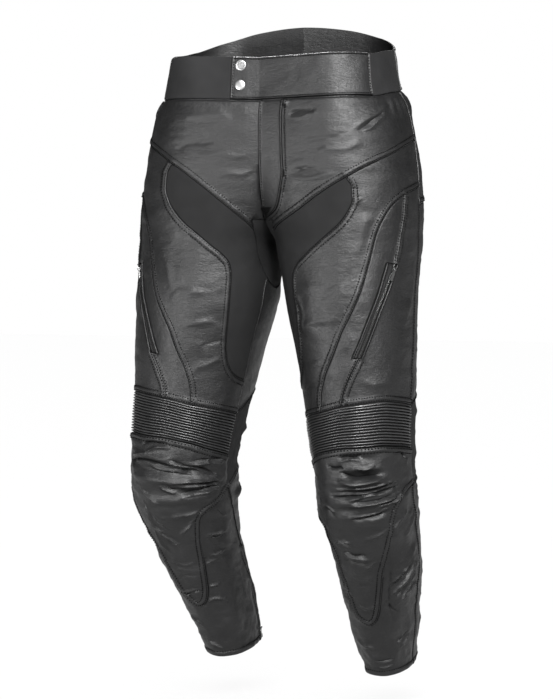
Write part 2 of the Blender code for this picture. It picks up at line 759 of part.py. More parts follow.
def signed_area(points):
    """Give a flat loop's area, positive where it runs counter-clockwise."""
    after = np.roll(points, -1, axis=0)
    return 0.5 * float(np.sum(points[:, 0] * after[:, 1] - after[:, 0] * points[:, 1]))


def inset_loop(loop, side, gap):
    """Move a counter-clockwise loop inwards over the skin by half a seam gap."""
    round_leg, up_leg, _ = skin_frame(loop[:, 0], loop[:, 1], side)
    scale = np.column_stack([np.linalg.norm(round_leg, axis=1), np.linalg.norm(up_leg, axis=1)])
    before = (loop - np.roll(loop, 1, axis=0)) * scale
    after = (np.roll(loop, -1, axis=0) - loop) * scale
    before /= np.linalg.norm(before, axis=1, keepdims=True)
    after /= np.linalg.norm(after, axis=1, keepdims=True)
    inward_before = np.column_stack([-before[:, 1], before[:, 0]])
    inward_after = np.column_stack([-after[:, 1], after[:, 0]])
    inward = inward_before + inward_after
    inward /= np.maximum(np.linalg.norm(inward, axis=1, keepdims=True), 1e-6)
    straightness = np.sum(inward * inward_after, axis=1, keepdims=True)
    move = inward * (gap / 2) / np.maximum(straightness, SHARPEST_TURN)
    return loop + move / scale


def inside_loop(points, loop):
    """Tell which flat points lie inside a flat loop."""
    inside = np.zeros(len(points), bool)
    for start, end in zip(loop, np.roll(loop, -1, axis=0)):
        crosses = (start[1] > points[:, 1]) != (end[1] > points[:, 1])
        rise = end[1] - start[1] if end[1] != start[1] else 1.0
        reach = start[0] + (points[:, 1] - start[1]) * (end[0] - start[0]) / rise
        inside ^= crosses & (points[:, 0] < reach)
    return inside


def loop_distance(points, loop):
    """Give each flat point's distance from a flat loop."""
    nearest = np.full(len(points), 1e9)
    for start, end in zip(loop, np.roll(loop, -1, axis=0)):
        way = end - start
        place = np.clip(((points - start) @ way) / (way @ way), 0.0, 1.0)
        foot = start + place[:, None] * way
        nearest = np.minimum(nearest, np.linalg.norm(points - foot, axis=1))
    return nearest


def grid_points(loop):
    """Give a staggered grid of pattern points well inside a loop."""
    low = loop.min(axis=0)
    high = loop.max(axis=0)
    points = []
    for row in range(int((high[1] - low[1]) / LEVEL_STEP) + 1):
        level = high[1] - (row + 0.5) * LEVEL_STEP
        start = low[0] + (0.5 if row % 2 else 0.0) * ANGLE_STEP
        angles = np.arange(start, high[0], ANGLE_STEP)
        points.extend((angle, level) for angle in angles)
    return np.array(points).reshape(-1, 2)


def fold_points(side, loop):
    """Give points along each fold and on both its sides, to carry its shape."""
    points = []
    middle = loop[:, 0].mean()
    for angle_a, level_a, angle_b, level_b, half_width, _ in all_folds(side):
        turn = 360 * round((middle - (angle_a + angle_b) / 2) / 360)
        start = np.array([angle_a + turn, level_a])
        way = np.array([angle_b + turn, level_b]) - start
        length = math.hypot(way[0] * PATTERN_DEGREE, way[1])
        aside = np.array([-way[1] / PATTERN_DEGREE, way[0] * PATTERN_DEGREE]) / length
        steps = max(2, round(length / FOLD_POINT_STEP))
        for place in np.linspace(*FOLD_POINT_REACH, steps):
            for offset in FOLD_POINT_OFFSETS:
                points.append(start + way * place + aside * offset * half_width)
    return np.array(points).reshape(-1, 2)


def triangulate(loop, inner_points):
    """Fill a loop with triangles through some inner points, as indices of loop + inner."""
    flat = flat_points(np.vstack([loop, inner_points]) if len(inner_points) else loop)
    count = len(loop)
    corners = [Vector(point) for point in flat]
    result = delaunay_2d_cdt(corners, [], [list(range(count))], 1, CDT_EPSILON)
    origins = [sources[0] for sources in result[3]]
    return [tuple(origins[corner] for corner in face) for face in result[2]]


def add_object(name, points, faces, material):
    """Make one named mesh object with its material."""
    mesh = bpy.data.meshes.new(name)
    mesh.from_pydata([tuple(point) for point in points], [], faces)
    mesh.validate()
    thing = bpy.data.objects.new(name, mesh)
    bpy.context.scene.collection.objects.link(thing)
    mesh.materials.append(material)
    mesh.shade_smooth()
    mesh.set_sharp_from_angle(angle=math.radians(50))
    return thing


def build_wall(name, side, loop, inner_points, lift, wall, material):
    """Make a cut piece: an outer and an inner sheet over one loop, joined by its edge."""
    points = np.vstack([loop, inner_points]) if len(inner_points) else loop
    outer = cloth_point(points[:, 0], points[:, 1], side, lift)
    inner = cloth_point(points[:, 0], points[:, 1], side, lift - wall)
    triangles = triangulate(loop, inner_points)
    count = len(points)
    faces = list(triangles)
    faces += [tuple(count + corner for corner in reversed(face)) for face in triangles]
    for corner in range(len(loop)):
        after = (corner + 1) % len(loop)
        faces.append((after, corner, corner + count, after + count))
    if side == RIGHT:
        faces = [tuple(reversed(face)) for face in faces]
    return add_object(name, np.vstack([outer, inner]), faces, material)


def cut_piece(name, side, seams, names, material, lift=0.0, wall=WALL):
    """Cut one piece of cloth from the skin between its seams."""
    loop = join_loop(seams, names)
    if signed_area(flat_points(loop)) < 0:
        loop = loop[::-1]
    shaping = fold_points(side, loop)
    grid = grid_points(loop)
    flat_shaping = flat_points(shaping)
    apart = np.linalg.norm(flat_points(grid)[:, None] - flat_shaping[None], axis=2)
    grid = grid[apart.min(axis=1) > GRID_MARGIN]
    inner_points = np.vstack([shaping, grid])
    flat = flat_points(inner_points)
    flat_loop = flat_points(loop)
    margin = np.concatenate([np.full(len(shaping), FOLD_MARGIN), np.full(len(grid), GRID_MARGIN)])
    keep = inside_loop(flat, flat_loop) & (loop_distance(flat, flat_loop) > margin)
    loop = inset_loop(loop, side, SEAM_GAP)
    return build_wall(name, side, loop, inner_points[keep], lift, wall, material)


def build_knee_ribs(name, side, seams, material):
    """Make the ribbed stretch panel over the knee, ribs outside and plain inside."""
    names = ("knee_top_side", "knee_top_pocket", "knee_top_thigh", "in_knee", "-knee_bottom",
             "-out_knee")
    loop = join_loop(seams, names)
    if signed_area(flat_points(loop)) < 0:
        loop = loop[::-1]
    top = np.vstack([seams["knee_top_side"], seams["knee_top_pocket"][1:],
                     seams["knee_top_thigh"][1:]])[::-1]
    bottom = seams["knee_bottom"][::-1]
    first = max(top[0, 0], bottom[0, 0]) + RIB_END_MARGIN
    last = min(top[-1, 0], bottom[-1, 0]) - RIB_END_MARGIN
    angles = np.linspace(first, last, RIB_COLUMNS)
    high = np.interp(angles, top[:, 0], top[:, 1])
    low = np.interp(angles, bottom[:, 0], bottom[:, 1])
    rows = 2 * RIB_COUNT - 1
    points = []
    relief = []
    for row in range(rows):
        share = (row + 1) / (rows + 1)
        for place, angle in enumerate(angles):
            points.append((angle, high[place] + (low[place] - high[place]) * share))
            at_end = place in (0, len(angles) - 1)
            on_crest = row % 2 == 0
            relief.append(RIB_HEIGHT if on_crest and not at_end else 0.0)
    points = np.array(points)
    loop = inset_loop(loop, side, SEAM_GAP)
    count = len(loop)

    # The outer sheet keeps its rows as fixed edges, so that each rib runs unbroken
    flat = flat_points(np.vstack([loop, points]))
    across = len(angles)
    edges = [(count + row * across + place, count + row * across + place + 1)
             for row in range(rows) for place in range(across - 1)]
    result = delaunay_2d_cdt(
        [Vector(point) for point in flat], edges, [list(range(count))], 1, CDT_EPSILON)
    origins = [sources[0] for sources in result[3]]
    outer_faces = [tuple(origins[corner] for corner in face) for face in result[2]]

    # The inner sheet is plain, with the same columns in fewer rows
    plain = np.array([(angle, high[place] + (low[place] - high[place]) * share)
                      for share in RIB_PLAIN_ROWS for place, angle in enumerate(angles)])
    inner_faces = triangulate(loop, plain)
    lifts = np.concatenate([np.zeros(count), np.array(relief)])
    outside = np.vstack([loop, points])
    inside = np.vstack([loop, plain])
    outer = cloth_point(outside[:, 0], outside[:, 1], side, lifts)
    inner = cloth_point(inside[:, 0], inside[:, 1], side, -STRETCH_WALL)
    start = len(outside)
    faces = list(outer_faces)
    faces += [tuple(start + corner for corner in reversed(face)) for face in inner_faces]
    for corner in range(count):
        after = (corner + 1) % count
        faces.append((after, corner, corner + start, after + start))
    if side == RIGHT:
        faces = [tuple(reversed(face)) for face in faces]
    return add_object(name, np.vstack([outer, inner]), faces, material)


def build_gusset(seams, material):
    """Make the crotch gusset as one strip across the middle plane."""
    side_line = np.vstack([seams["gusset_yoke"], seams["gusset_groin"][1:],
                           seams["gusset_back"][1:]])
    fly_foot = seams["gusset_top"][0]
    back_foot = seams["gusset_end"][-1]
    count = len(side_line)
    dense = [fly_foot]
    inner_angles = (fly_foot[0] - GUSSET_END_ANGLE, back_foot[0] + GUSSET_END_ANGLE)
    for angle in np.linspace(*inner_angles, CROTCH_POINTS):
        dense.append((angle, crotch_level(angle, 0.0)))
    dense.append(back_foot)
    dense = np.array(dense)
    steps = np.hypot(np.diff(dense[:, 0]) * PATTERN_DEGREE, np.diff(dense[:, 1]))
    travelled = np.concatenate([[0.0], np.cumsum(steps)])
    places = np.linspace(0.0, travelled[-1], count)
    centre = np.column_stack([np.interp(places, travelled, dense[:, 0]),
                              np.interp(places, travelled, dense[:, 1])])
    inset_share = 1 - (SEAM_GAP / 2) / GUSSET_HALF
    shares = (-inset_share, -GUSSET_MID_SHARE, 0.0, GUSSET_MID_SHARE, inset_share)
    end_inset = GUSSET_END_GAP / CURVE_STEP
    side_line = side_line.copy()
    for line in (side_line, centre):
        line[0] = line[0] + (line[1] - line[0]) * end_inset
        line[-1] = line[-1] + (line[-2] - line[-1]) * end_inset
    outer = []
    inner = []
    for row in range(count):
        for share in shares:
            place = centre[row] + (side_line[row] - centre[row]) * abs(share)
            side = LEFT if share >= 0 else RIGHT
            outer.append(cloth_point(place[0], place[1], side, 0.0))
            inner.append(cloth_point(place[0], place[1], side, -STRETCH_WALL))
            if share == 0.0:
                outer[-1][0] = 0.0
                inner[-1][0] = 0.0
    across = len(shares)
    total = count * across
    faces = []
    for row in range(count - 1):
        for place in range(across - 1):
            a = row * across + place
            b = a + across
            faces.append((a, b, b + 1, a + 1))
            faces.append((total + a + 1, total + b + 1, total + b, total + a))
    rim = list(range(across))
    rim += [row * across + across - 1 for row in range(1, count)]
    rim += [(count - 1) * across + place for place in range(across - 2, -1, -1)]
    rim += [row * across for row in range(count - 2, 0, -1)]
    for corner, after in zip(rim, rim[1:] + rim[:1]):
        faces.append((corner, after, after + total, corner + total))
    return add_object("crotch_gusset", outer + inner, faces, material)


def band_column(side, angle, lift, to_middle):
    """Give a column of the band from the waist seam to its top edge."""
    height = float(read_table(BAND_HEIGHT, angle)[0])
    column = []
    for share in (SEAM_GAP / 2 / height, *BAND_MID_SHARES, 1.0):
        level = height * share
        shift = middle_angle(level, back=True) - middle_angle(0.0, back=True)
        place = angle + (shift if to_middle else 0.0)
        column.append(cloth_point(place, level, side, lift))
    return column


def waistband_piece(name, parts, material, lift=0.0):
    """Make a piece of the band from runs of one or both sides, joined at the middle plane."""
    back_angle = middle_angle(0.0, back=True) - BAND_MIDDLE_ANGLE
    outer = []
    inner = []
    for side, angles in parts:
        for angle in angles:
            to_middle = angle > back_angle
            outer.append(band_column(side, angle, lift, to_middle))
            inner.append(band_column(side, angle, -WALL, to_middle))
    rows = len(outer[0])
    count = len(outer)
    points = [point for column in outer for point in column]
    points += [point for column in inner for point in column]
    total = count * rows
    faces = []
    for column in range(count - 1):
        for row in range(rows - 1):
            a = column * rows + row
            b = a + rows
            faces.append((a, b, b + 1, a + 1))
            faces.append((total + a + 1, total + b + 1, total + b, total + a))
    rim = [column * rows for column in range(count)]
    rim += [(count - 1) * rows + row for row in range(1, rows)]
    rim += [column * rows + rows - 1 for column in range(count - 2, -1, -1)]
    rim += [row for row in range(rows - 2, 0, -1)]
    for corner, after in zip(rim, rim[1:] + rim[:1]):
        faces.append((after, corner, corner + total, after + total))
    return add_object(name, points, faces, material)


def waist_angles(seams, names, first_gap=True, last_gap=True):
    """Give the angles of a run of the waist seam, drawn in by half a gap at its open ends."""
    line = np.vstack([seams[f"waist_{name}"] for name in names])
    angles = np.unique(line[:, 0].round(6))
    gap = SEAM_GAP / 2 / PATTERN_DEGREE
    if first_gap:
        angles[0] += gap
    if last_gap:
        angles[-1] -= gap
    return list(angles)


def build_waistband(seams, materials):
    """Make the band: leather front with its tab, stretch sides and two back halves."""
    tab = waist_angles(seams, ("front", "fly"), first_gap=False)[1:]
    leather = waist_angles(seams, ("front", "fly", "tab"), first_gap=False)
    waistband_piece("waistband_front", ((RIGHT, tab[::-1]), (LEFT, leather)),
                    materials["leather"], lift=BAND_LIFT)
    stretch_left = waist_angles(seams, ("leather", "outseam"))
    stretch_right = waist_angles(seams, ("tab", "leather", "outseam"))
    waistband_piece("waistband_stretch_left", ((LEFT, stretch_left),),
                    materials["elastic_band"])
    waistband_piece("waistband_stretch_right", ((RIGHT, stretch_right[::-1]),),
                    materials["elastic_band"])
    back = waist_angles(seams, ("stretch",))
    waistband_piece("waistband_back_left", ((LEFT, back),), materials["leather"])
    waistband_piece("waistband_back_right", ((RIGHT, back[::-1]),), materials["leather"])


def place_matrix(origin, down, out):
    """Give the frame whose X runs across, Y up against down, and Z out of the cloth."""
    out = Vector(out).normalized()
    down = Vector(down)
    down = (down - out * down.dot(out)).normalized()
    across = out.cross(down)
    rotation = Matrix((across, -down, out)).transposed().to_4x4()
    return Matrix.Translation(Vector(origin)) @ rotation


def build_snap(name, height, material):
    """Make one domed snap cap on the band's tab."""
    angle = np.array(SNAP_ANGLE)
    level = np.array(height)
    origin = cloth_point(angle, level, RIGHT, BAND_LIFT + SNAP_SEAT)
    round_leg, up_leg, normal = skin_frame(angle, level, RIGHT)
    matrix = place_matrix(origin, -up_leg, normal)
    points = []
    for radius, rise in SNAP_PROFILE:
        for step in range(SNAP_SIDES):
            turn = 2 * math.pi * step / SNAP_SIDES
            points.append(matrix @ Vector((radius * math.cos(turn), radius * math.sin(turn), rise)))
    points.append(matrix @ Vector((0.0, 0.0, SNAP_CENTRE_HEIGHT)))
    faces = [tuple(reversed(range(SNAP_SIDES)))]
    for ring in range(len(SNAP_PROFILE) - 1):
        for step in range(SNAP_SIDES):
            a = ring * SNAP_SIDES + step
            b = ring * SNAP_SIDES + (step + 1) % SNAP_SIDES
            faces.append((a, b, b + SNAP_SIDES, a + SNAP_SIDES))
    last = (len(SNAP_PROFILE) - 1) * SNAP_SIDES
    for step in range(SNAP_SIDES):
        faces.append((last + step, last + (step + 1) % SNAP_SIDES, len(points) - 1))
    return add_object(name, points, faces, material)


def build_blocks(xs, ys, zs, filled):
    """Give the skin of a set of filled cells of a box grid as points and faces."""
    corners = {}
    points = []
    faces = []

    def corner(i, j, k):
        if (i, j, k) not in corners:
            corners[(i, j, k)] = len(points)
            points.append(Vector((xs[i], ys[j], zs[k])))
        return corners[(i, j, k)]

    sides = (
        ((-1, 0, 0), ((0, 0, 0), (0, 0, 1), (0, 1, 1), (0, 1, 0))),
        ((1, 0, 0), ((1, 0, 0), (1, 1, 0), (1, 1, 1), (1, 0, 1))),
        ((0, -1, 0), ((0, 0, 0), (1, 0, 0), (1, 0, 1), (0, 0, 1))),
        ((0, 1, 0), ((0, 1, 0), (0, 1, 1), (1, 1, 1), (1, 1, 0))),
        ((0, 0, -1), ((0, 0, 0), (0, 1, 0), (1, 1, 0), (1, 0, 0))),
        ((0, 0, 1), ((0, 0, 1), (1, 0, 1), (1, 1, 1), (0, 1, 1))),
    )
    for cell in filled:
        for step, face in sides:
            beside = tuple(cell[axis] + step[axis] for axis in range(3))
            if beside in filled:
                continue
            faces.append(tuple(corner(*(cell[axis] + turn[axis] for axis in range(3)))
                               for turn in face))
    return points, faces


def build_slider(name, matrix, material):
    """Make a zip slider: a plate with two ears and the bar that its pull swings on."""
    half = SLIDER_WIDTH / 2
    ear = half - SLIDER_EAR
    xs = (-half, -ear, ear, half)
    ys = (-SLIDER_LENGTH / 2, -SLIDER_EAR / 2, SLIDER_EAR / 2, SLIDER_LENGTH / 2)
    zs = (0.0, SLIDER_PLATE, SLIDER_TOP - SLIDER_EAR, SLIDER_TOP)
    filled = {(i, j, 0) for i in range(3) for j in range(3)}
    filled |= {(0, 1, 1), (2, 1, 1), (0, 1, 2), (1, 1, 2), (2, 1, 2)}
    points, faces = build_blocks(xs, ys, zs, filled)
    for point in points:
        if abs(point.y) > SLIDER_EAR:
            point.x *= SLIDER_NOSE if point.y < 0 else SLIDER_TAIL
    return add_object(name, [matrix @ point for point in points], faces, material)


def build_pull(name, pivot, swing, hang, out, material):
    """Make a pull tab: an eye round the slider's bar and a tab that hangs from it."""
    swing = Vector(swing).normalized()
    hang = Vector(hang).normalized()
    out = Vector(out)
    sides = PULL_EYE_SIDES
    mesh = bmesh.new()
    rings = []
    for radius in (PULL_EYE_INNER, PULL_EYE_OUTER):
        for aside in (-0.5, 0.5):
            ring = []
            for step in range(sides):
                turn = 2 * math.pi * (step + 0.5) / sides
                offset = hang * math.cos(turn) * radius + out * math.sin(turn) * radius
                ring.append(mesh.verts.new(offset + swing * aside * PULL_EYE_WIDTH))
            rings.append(ring)
    inner_a, inner_b, outer_a, outer_b = rings
    tab_face = None
    for step in range(sides):
        after = (step + 1) % sides
        mesh.faces.new((inner_a[step], inner_b[step], inner_b[after], inner_a[after]))
        face = mesh.faces.new((outer_a[after], outer_b[after], outer_b[step], outer_a[step]))
        mesh.faces.new((outer_a[step], inner_a[step], inner_a[after], outer_a[after]))
        mesh.faces.new((outer_b[after], inner_b[after], inner_b[step], outer_b[step]))
        if after == 0:
            tab_face = face
    ends = PULL_NECK + PULL_SHOULDER + PULL_TIP
    stages = (
        (PULL_NECK, PULL_EYE_WIDTH),
        (PULL_SHOULDER, PULL_TAB_WIDTH),
        (PULL_LENGTH - PULL_EYE_OUTER - ends, PULL_TAB_WIDTH),
        (PULL_TIP, PULL_TAB_WIDTH * PULL_TIP_SHARE),
    )
    for advance, width in stages:
        result = bmesh.ops.extrude_face_region(mesh, geom=[tab_face])
        moved = [item for item in result["geom"] if isinstance(item, bmesh.types.BMVert)]
        new_face = [item for item in result["geom"] if isinstance(item, bmesh.types.BMFace)][0]
        bmesh.ops.delete(mesh, geom=[tab_face], context="FACES_ONLY")
        far = max(vert.co.dot(hang) for vert in moved)
        for vert in moved:
            rise = PULL_TAB_THICKNESS / 2 * (1 if vert.co.dot(out) > 0 else -1)
            aside = width / 2 * (1 if vert.co.dot(swing) > 0 else -1)
            vert.co = hang * (far + advance) + out * rise + swing * aside
        tab_face = new_face
    bmesh.ops.recalc_face_normals(mesh, faces=mesh.faces)
    data = bpy.data.meshes.new(name)
    mesh.to_mesh(data)
    mesh.free()
    thing = bpy.data.objects.new(name, data)
    thing.location = pivot
    bpy.context.scene.collection.objects.link(thing)
    data.materials.append(material)
    return thing


def build_zip_hardware(kind, side, place, direction, materials):
    """Make a slider with its pull tab at a place on a zip."""
    angle, level = place
    lift = -ZIP_SINK + SLIDER_SEAT
    origin = cloth_point(np.array(angle), np.array(level), side, lift)
    normal = skin_frame(np.array(angle), np.array(level), side)[2]
    matrix = place_matrix(origin, direction, normal)
    label = SIDE_NAMES[side]
    build_slider(f"{kind}_slider_{label}", matrix, materials["dark_metal"])
    pivot = matrix @ Vector((0.0, 0.0, SLIDER_TOP - SLIDER_EAR / 2))
    swing = (matrix.to_3x3() @ Vector((1.0, 0.0, 0.0))).normalized()
    gravity = Vector((0.0, 0.0, -1.0))
    hang = (gravity - swing * gravity.dot(swing)).normalized()
    out = swing.cross(hang)
    if out.dot(Vector(normal)) < 0:
        out = -out
    build_pull(f"{kind}_pull_{label}", pivot, swing, hang, out, materials["dark_metal"])


def build_leg(side, materials):
    """Cut every piece of one side and fit its zips."""
    seams = leg_seams(side)
    label = SIDE_NAMES[side]
    leather = materials["leather"]
    stretch = materials["stretch_cloth"]
    tape = materials["zip_tape"]
    waist_front = ["waist_fly", "waist_tab", "waist_leather"]
    if side == LEFT:
        cut_piece("fly_left", side, seams, ("waist_front", "fly", "-centre_front"), leather,
                  lift=FLY_LIFT)
        yoke_edge = ["-fly"]
    else:
        waist_front = ["waist_front"] + waist_front
        yoke_edge = ["-centre_front"]
    yoke = waist_front + ["out_yoke", "v_hip", "v_groin", "-gusset_yoke", "-gusset_top"]
    cut_piece(f"yoke_front_{label}", side, seams, yoke + yoke_edge, leather)
    cut_piece(f"groin_panel_{label}", side, seams,
              ("v_groin", "gusset_groin", "in_groin", "-leaf"), stretch, wall=STRETCH_WALL)
    cut_piece(f"thigh_front_{label}", side, seams,
              ("-v_hip", "out_hip", "curve_hip", "curve_thigh", "knee_top_thigh", "-in_thigh",
               "-leaf"), leather)
    cut_piece(f"pocket_side_{label}", side, seams,
              ("curve_thigh", "-knee_top_pocket", "-pocket_lower", "zip_bottom_front",
               "welt_bottom", "-welt_side", "-welt_top", "-zip_top_front", "-pocket_upper"),
              leather)
    cut_piece(f"pocket_welt_{label}", side, seams,
              ("zip_front", "welt_bottom", "-welt_side", "-welt_top"), leather, lift=WELT_LIFT)
    cut_piece(f"pocket_zip_{label}", side, seams,
              ("zip_top_back", "zip_back", "-zip_bottom_back", "zip_bottom_front",
               "-zip_front", "-zip_top_front"), tape, lift=-ZIP_SINK, wall=ZIP_WALL)
    cut_piece(f"side_panel_{label}", side, seams,
              ("-curve_hip", "out_side_top", "out_side", "knee_top_side", "-pocket_lower",
               "zip_bottom_back", "-zip_back", "-zip_top_back", "-pocket_upper"), leather)
    build_knee_ribs(f"knee_ribs_{label}", side, seams, stretch)
    cut_piece(f"shin_guard_{label}", side, seams,
              ("knee_bottom", "in_shin", "-shin", "-out_shin"), leather, lift=SHIN_LIFT,
              wall=WALL + SHIN_LIFT)
    cut_piece(f"lower_front_{label}", side, seams,
              ("shin", "in_lower", "ankle_top_front", "ankle_front", "-hem_front",
               "-out_lower"), leather)
    cut_piece(f"ankle_zip_{label}", side, seams,
              ("ankle_top_front", "ankle_front", "hem_zip", "-ankle_back", "-ankle_top_back"),
              tape, lift=-ZIP_SINK, wall=ZIP_WALL)
    cut_piece(f"back_yoke_{label}", side, seams,
              ("waist_outseam", "waist_stretch", "centre_back_yoke", "-back_yoke",
               "-out_side_top", "-out_hip", "-out_yoke"), leather)
    cut_piece(f"back_thigh_{label}", side, seams,
              ("back_yoke", "centre_back", "-gusset_end+360", "-gusset_back+360",
               "in_groin+360", "in_thigh+360", "-back_knee_top", "-out_side"), leather)
    cut_piece(f"back_knee_{label}", side, seams,
              ("back_knee_top", "in_knee+360", "in_shin+360", "-back_knee_bottom",
               "-out_shin", "-out_knee"), stretch, wall=STRETCH_WALL)
    cut_piece(f"calf_{label}", side, seams,
              ("back_knee_bottom", "in_lower+360", "ankle_top_back+360", "ankle_back+360",
               "-hem_back", "-out_lower"), leather)
    zip_line = dense_line(POCKET_ZIP)
    place = zip_line[round(POCKET_SLIDER_PLACE * (len(zip_line) - 1))]
    ahead_place = POCKET_SLIDER_PLACE + SLIDER_AIM_SHARE
    ahead = zip_line[round(ahead_place * (len(zip_line) - 1))]
    direction = skin_point(*ahead, side) - skin_point(*place, side)
    build_zip_hardware("pocket", side, place, direction, materials)
    inseam = dense_line(INSEAM)
    place = (angle_on(inseam, ANKLE_SLIDER_LEVEL), ANKLE_SLIDER_LEVEL)
    ahead = (angle_on(inseam, HEM), HEM)
    direction = skin_point(*ahead, side) - skin_point(*place, side)
    build_zip_hardware("ankle", side, place, direction, materials)
    return seams


def make_materials():
    """Make the plain materials."""
    materials = {}
    for name, (colour, roughness, metallic) in MATERIALS.items():
        material = bpy.data.materials.new(name)
        material.use_nodes = True
        shader = material.node_tree.nodes["Principled BSDF"]
        shader.inputs["Base Color"].default_value = (*colour, 1.0)
        shader.inputs["Roughness"].default_value = roughness
        shader.inputs["Metallic"].default_value = metallic
        materials[name] = material
    return materials


def main():
    """Clear the scene and build the trousers."""
    for thing in list(bpy.data.objects):
        bpy.data.objects.remove(thing)
    materials = make_materials()
    for side in (LEFT, RIGHT):
        seams = build_leg(side, materials)
        if side == LEFT:
            build_gusset(seams, materials["stretch_cloth"])
            build_waistband(seams, materials)
    for name, height in zip(("snap_upper", "snap_lower"), SNAP_HEIGHTS):
        build_snap(name, height, materials["silver_metal"])


main()
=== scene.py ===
"""Motorcycle trousers of leather and stretch cloth, dressed in fine shells, sewing and metal.

Each cut piece gets a thin shell on its own solid's form. The skin, the seams and the large
folds are the solids' own, in the same pattern coordinates: an angle round the leg and a level
down it. Creases, seam relief, stitches, zip teeth and snaps are added to that.
"""
import json
import math

import bpy
import numpy as np
from mathutils import Matrix, Vector
from mathutils.geometry import delaunay_2d_cdt

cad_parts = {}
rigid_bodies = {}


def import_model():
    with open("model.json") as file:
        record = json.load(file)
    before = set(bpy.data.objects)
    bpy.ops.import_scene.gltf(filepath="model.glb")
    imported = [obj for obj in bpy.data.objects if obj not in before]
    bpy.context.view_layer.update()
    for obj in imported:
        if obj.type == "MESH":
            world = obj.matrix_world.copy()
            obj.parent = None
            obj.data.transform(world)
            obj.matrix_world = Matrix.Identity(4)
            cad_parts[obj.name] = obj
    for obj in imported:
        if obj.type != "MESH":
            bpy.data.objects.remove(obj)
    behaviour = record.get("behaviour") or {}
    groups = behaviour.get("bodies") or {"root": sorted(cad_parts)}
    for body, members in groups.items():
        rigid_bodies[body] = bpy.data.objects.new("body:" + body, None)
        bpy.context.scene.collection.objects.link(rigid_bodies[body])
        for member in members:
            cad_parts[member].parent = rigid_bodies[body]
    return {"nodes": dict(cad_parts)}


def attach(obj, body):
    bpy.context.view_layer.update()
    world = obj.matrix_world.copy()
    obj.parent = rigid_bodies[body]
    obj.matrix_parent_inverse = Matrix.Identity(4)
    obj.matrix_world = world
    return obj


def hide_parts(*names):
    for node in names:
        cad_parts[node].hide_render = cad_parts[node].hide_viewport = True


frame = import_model()

LEFT, RIGHT = 1, -1
SIDE_NAMES = {LEFT: "left", RIGHT: "right"}

# Walls, gaps between pieces, and how far a piece stands off the skin
WALL = 0.0020
STRETCH_WALL = 0.0018
ZIP_WALL = 0.0010
OUTER_GAP = 0.0006
INNER_GAP = 0.00006
FLY_LIFT = 0.0012
BAND_LIFT = 0.0010
SHIN_LIFT = 0.0016
WELT_LIFT = 0.0008
ZIP_SINK = 0.0008
# Within this reach of the middle plane, offsets run along the plane
MIDDLE_REACH = 0.0080

# Metres between a seam's points, and metres for one degree in the pattern
SEAM_STEP = 0.0035
PATTERN_DEGREE = 0.0018
PROBE_DEGREE = 0.2
PROBE_METRE = 0.0008
HALVINGS = 40
LINE_POINTS = 400
CROTCH_POINTS = 60
CROTCH_REACH = (-0.10, -0.33)
SHARPEST_TURN = 0.4

# Where each ring of the left leg reaches, from the middle plane and from the hips' middle:
# level, inner, middle x, outer, front, middle y, back, squareness, slope
SECTIONS = (
    (0.13, -0.2, 0.095, 0.168, -0.106, 0.01, 0.122, 2.2, 0.0),
    (0.065, -0.2, 0.097, 0.178, -0.113, 0.006, 0.124, 2.2, 0.0),
    (0.0, -0.2, 0.1, 0.19, -0.121, 0.003, 0.127, 2.2, 0.0),
    (-0.02, -0.19, 0.102, 0.2, -0.126, 0.006, 0.133, 2.2, 0.0),
    (-0.05, -0.17, 0.104, 0.208, -0.129, 0.008, 0.139, 2.2, 0.0),
    (-0.09, -0.14, 0.106, 0.216, -0.131, 0.008, 0.145, 2.2, 0.0),
    (-0.14, -0.09, 0.11, 0.223, -0.133, 0.006, 0.147, 2.2, 0.0),
    (-0.2, -0.03, 0.115, 0.228, -0.135, 0.0, 0.141, 2.2, 0.0),
    (-0.24, 0.0, 0.117, 0.228, -0.137, -0.006, 0.132, 2.1, 0.0),
    (-0.33, 0.01, 0.12, 0.227, -0.143, -0.018, 0.108, 2.1, 0.0),
    (-0.405, 0.03, 0.13, 0.228, -0.142, -0.026, 0.09, 2.1, 0.0),
    (-0.478, 0.048, 0.138, 0.228, -0.14, -0.033, 0.074, 2.1, 0.05),
    (-0.543, 0.062, 0.145, 0.228, -0.146, -0.042, 0.058, 2.1, 0.1),
    (-0.6, 0.073, 0.15, 0.228, -0.143, -0.044, 0.052, 2.1, 0.12),
    (-0.648, 0.075, 0.15, 0.227, -0.129, -0.033, 0.059, 2.1, 0.12),
    (-0.697, 0.081, 0.15, 0.221, -0.099, -0.012, 0.073, 2.1, 0.12),
    (-0.745, 0.084, 0.148, 0.213, -0.069, 0.011, 0.091, 2.1, 0.12),
    (-0.794, 0.084, 0.142, 0.201, -0.041, 0.035, 0.11, 2.1, 0.13),
    (-0.842, 0.085, 0.137, 0.189, -0.013, 0.058, 0.128, 2.1, 0.14),
    (-0.883, 0.089, 0.134, 0.179, 0.009, 0.076, 0.142, 2.1, 0.16),
    (-0.915, 0.093, 0.133, 0.172, 0.024, 0.089, 0.152, 2.1, 0.18),
)

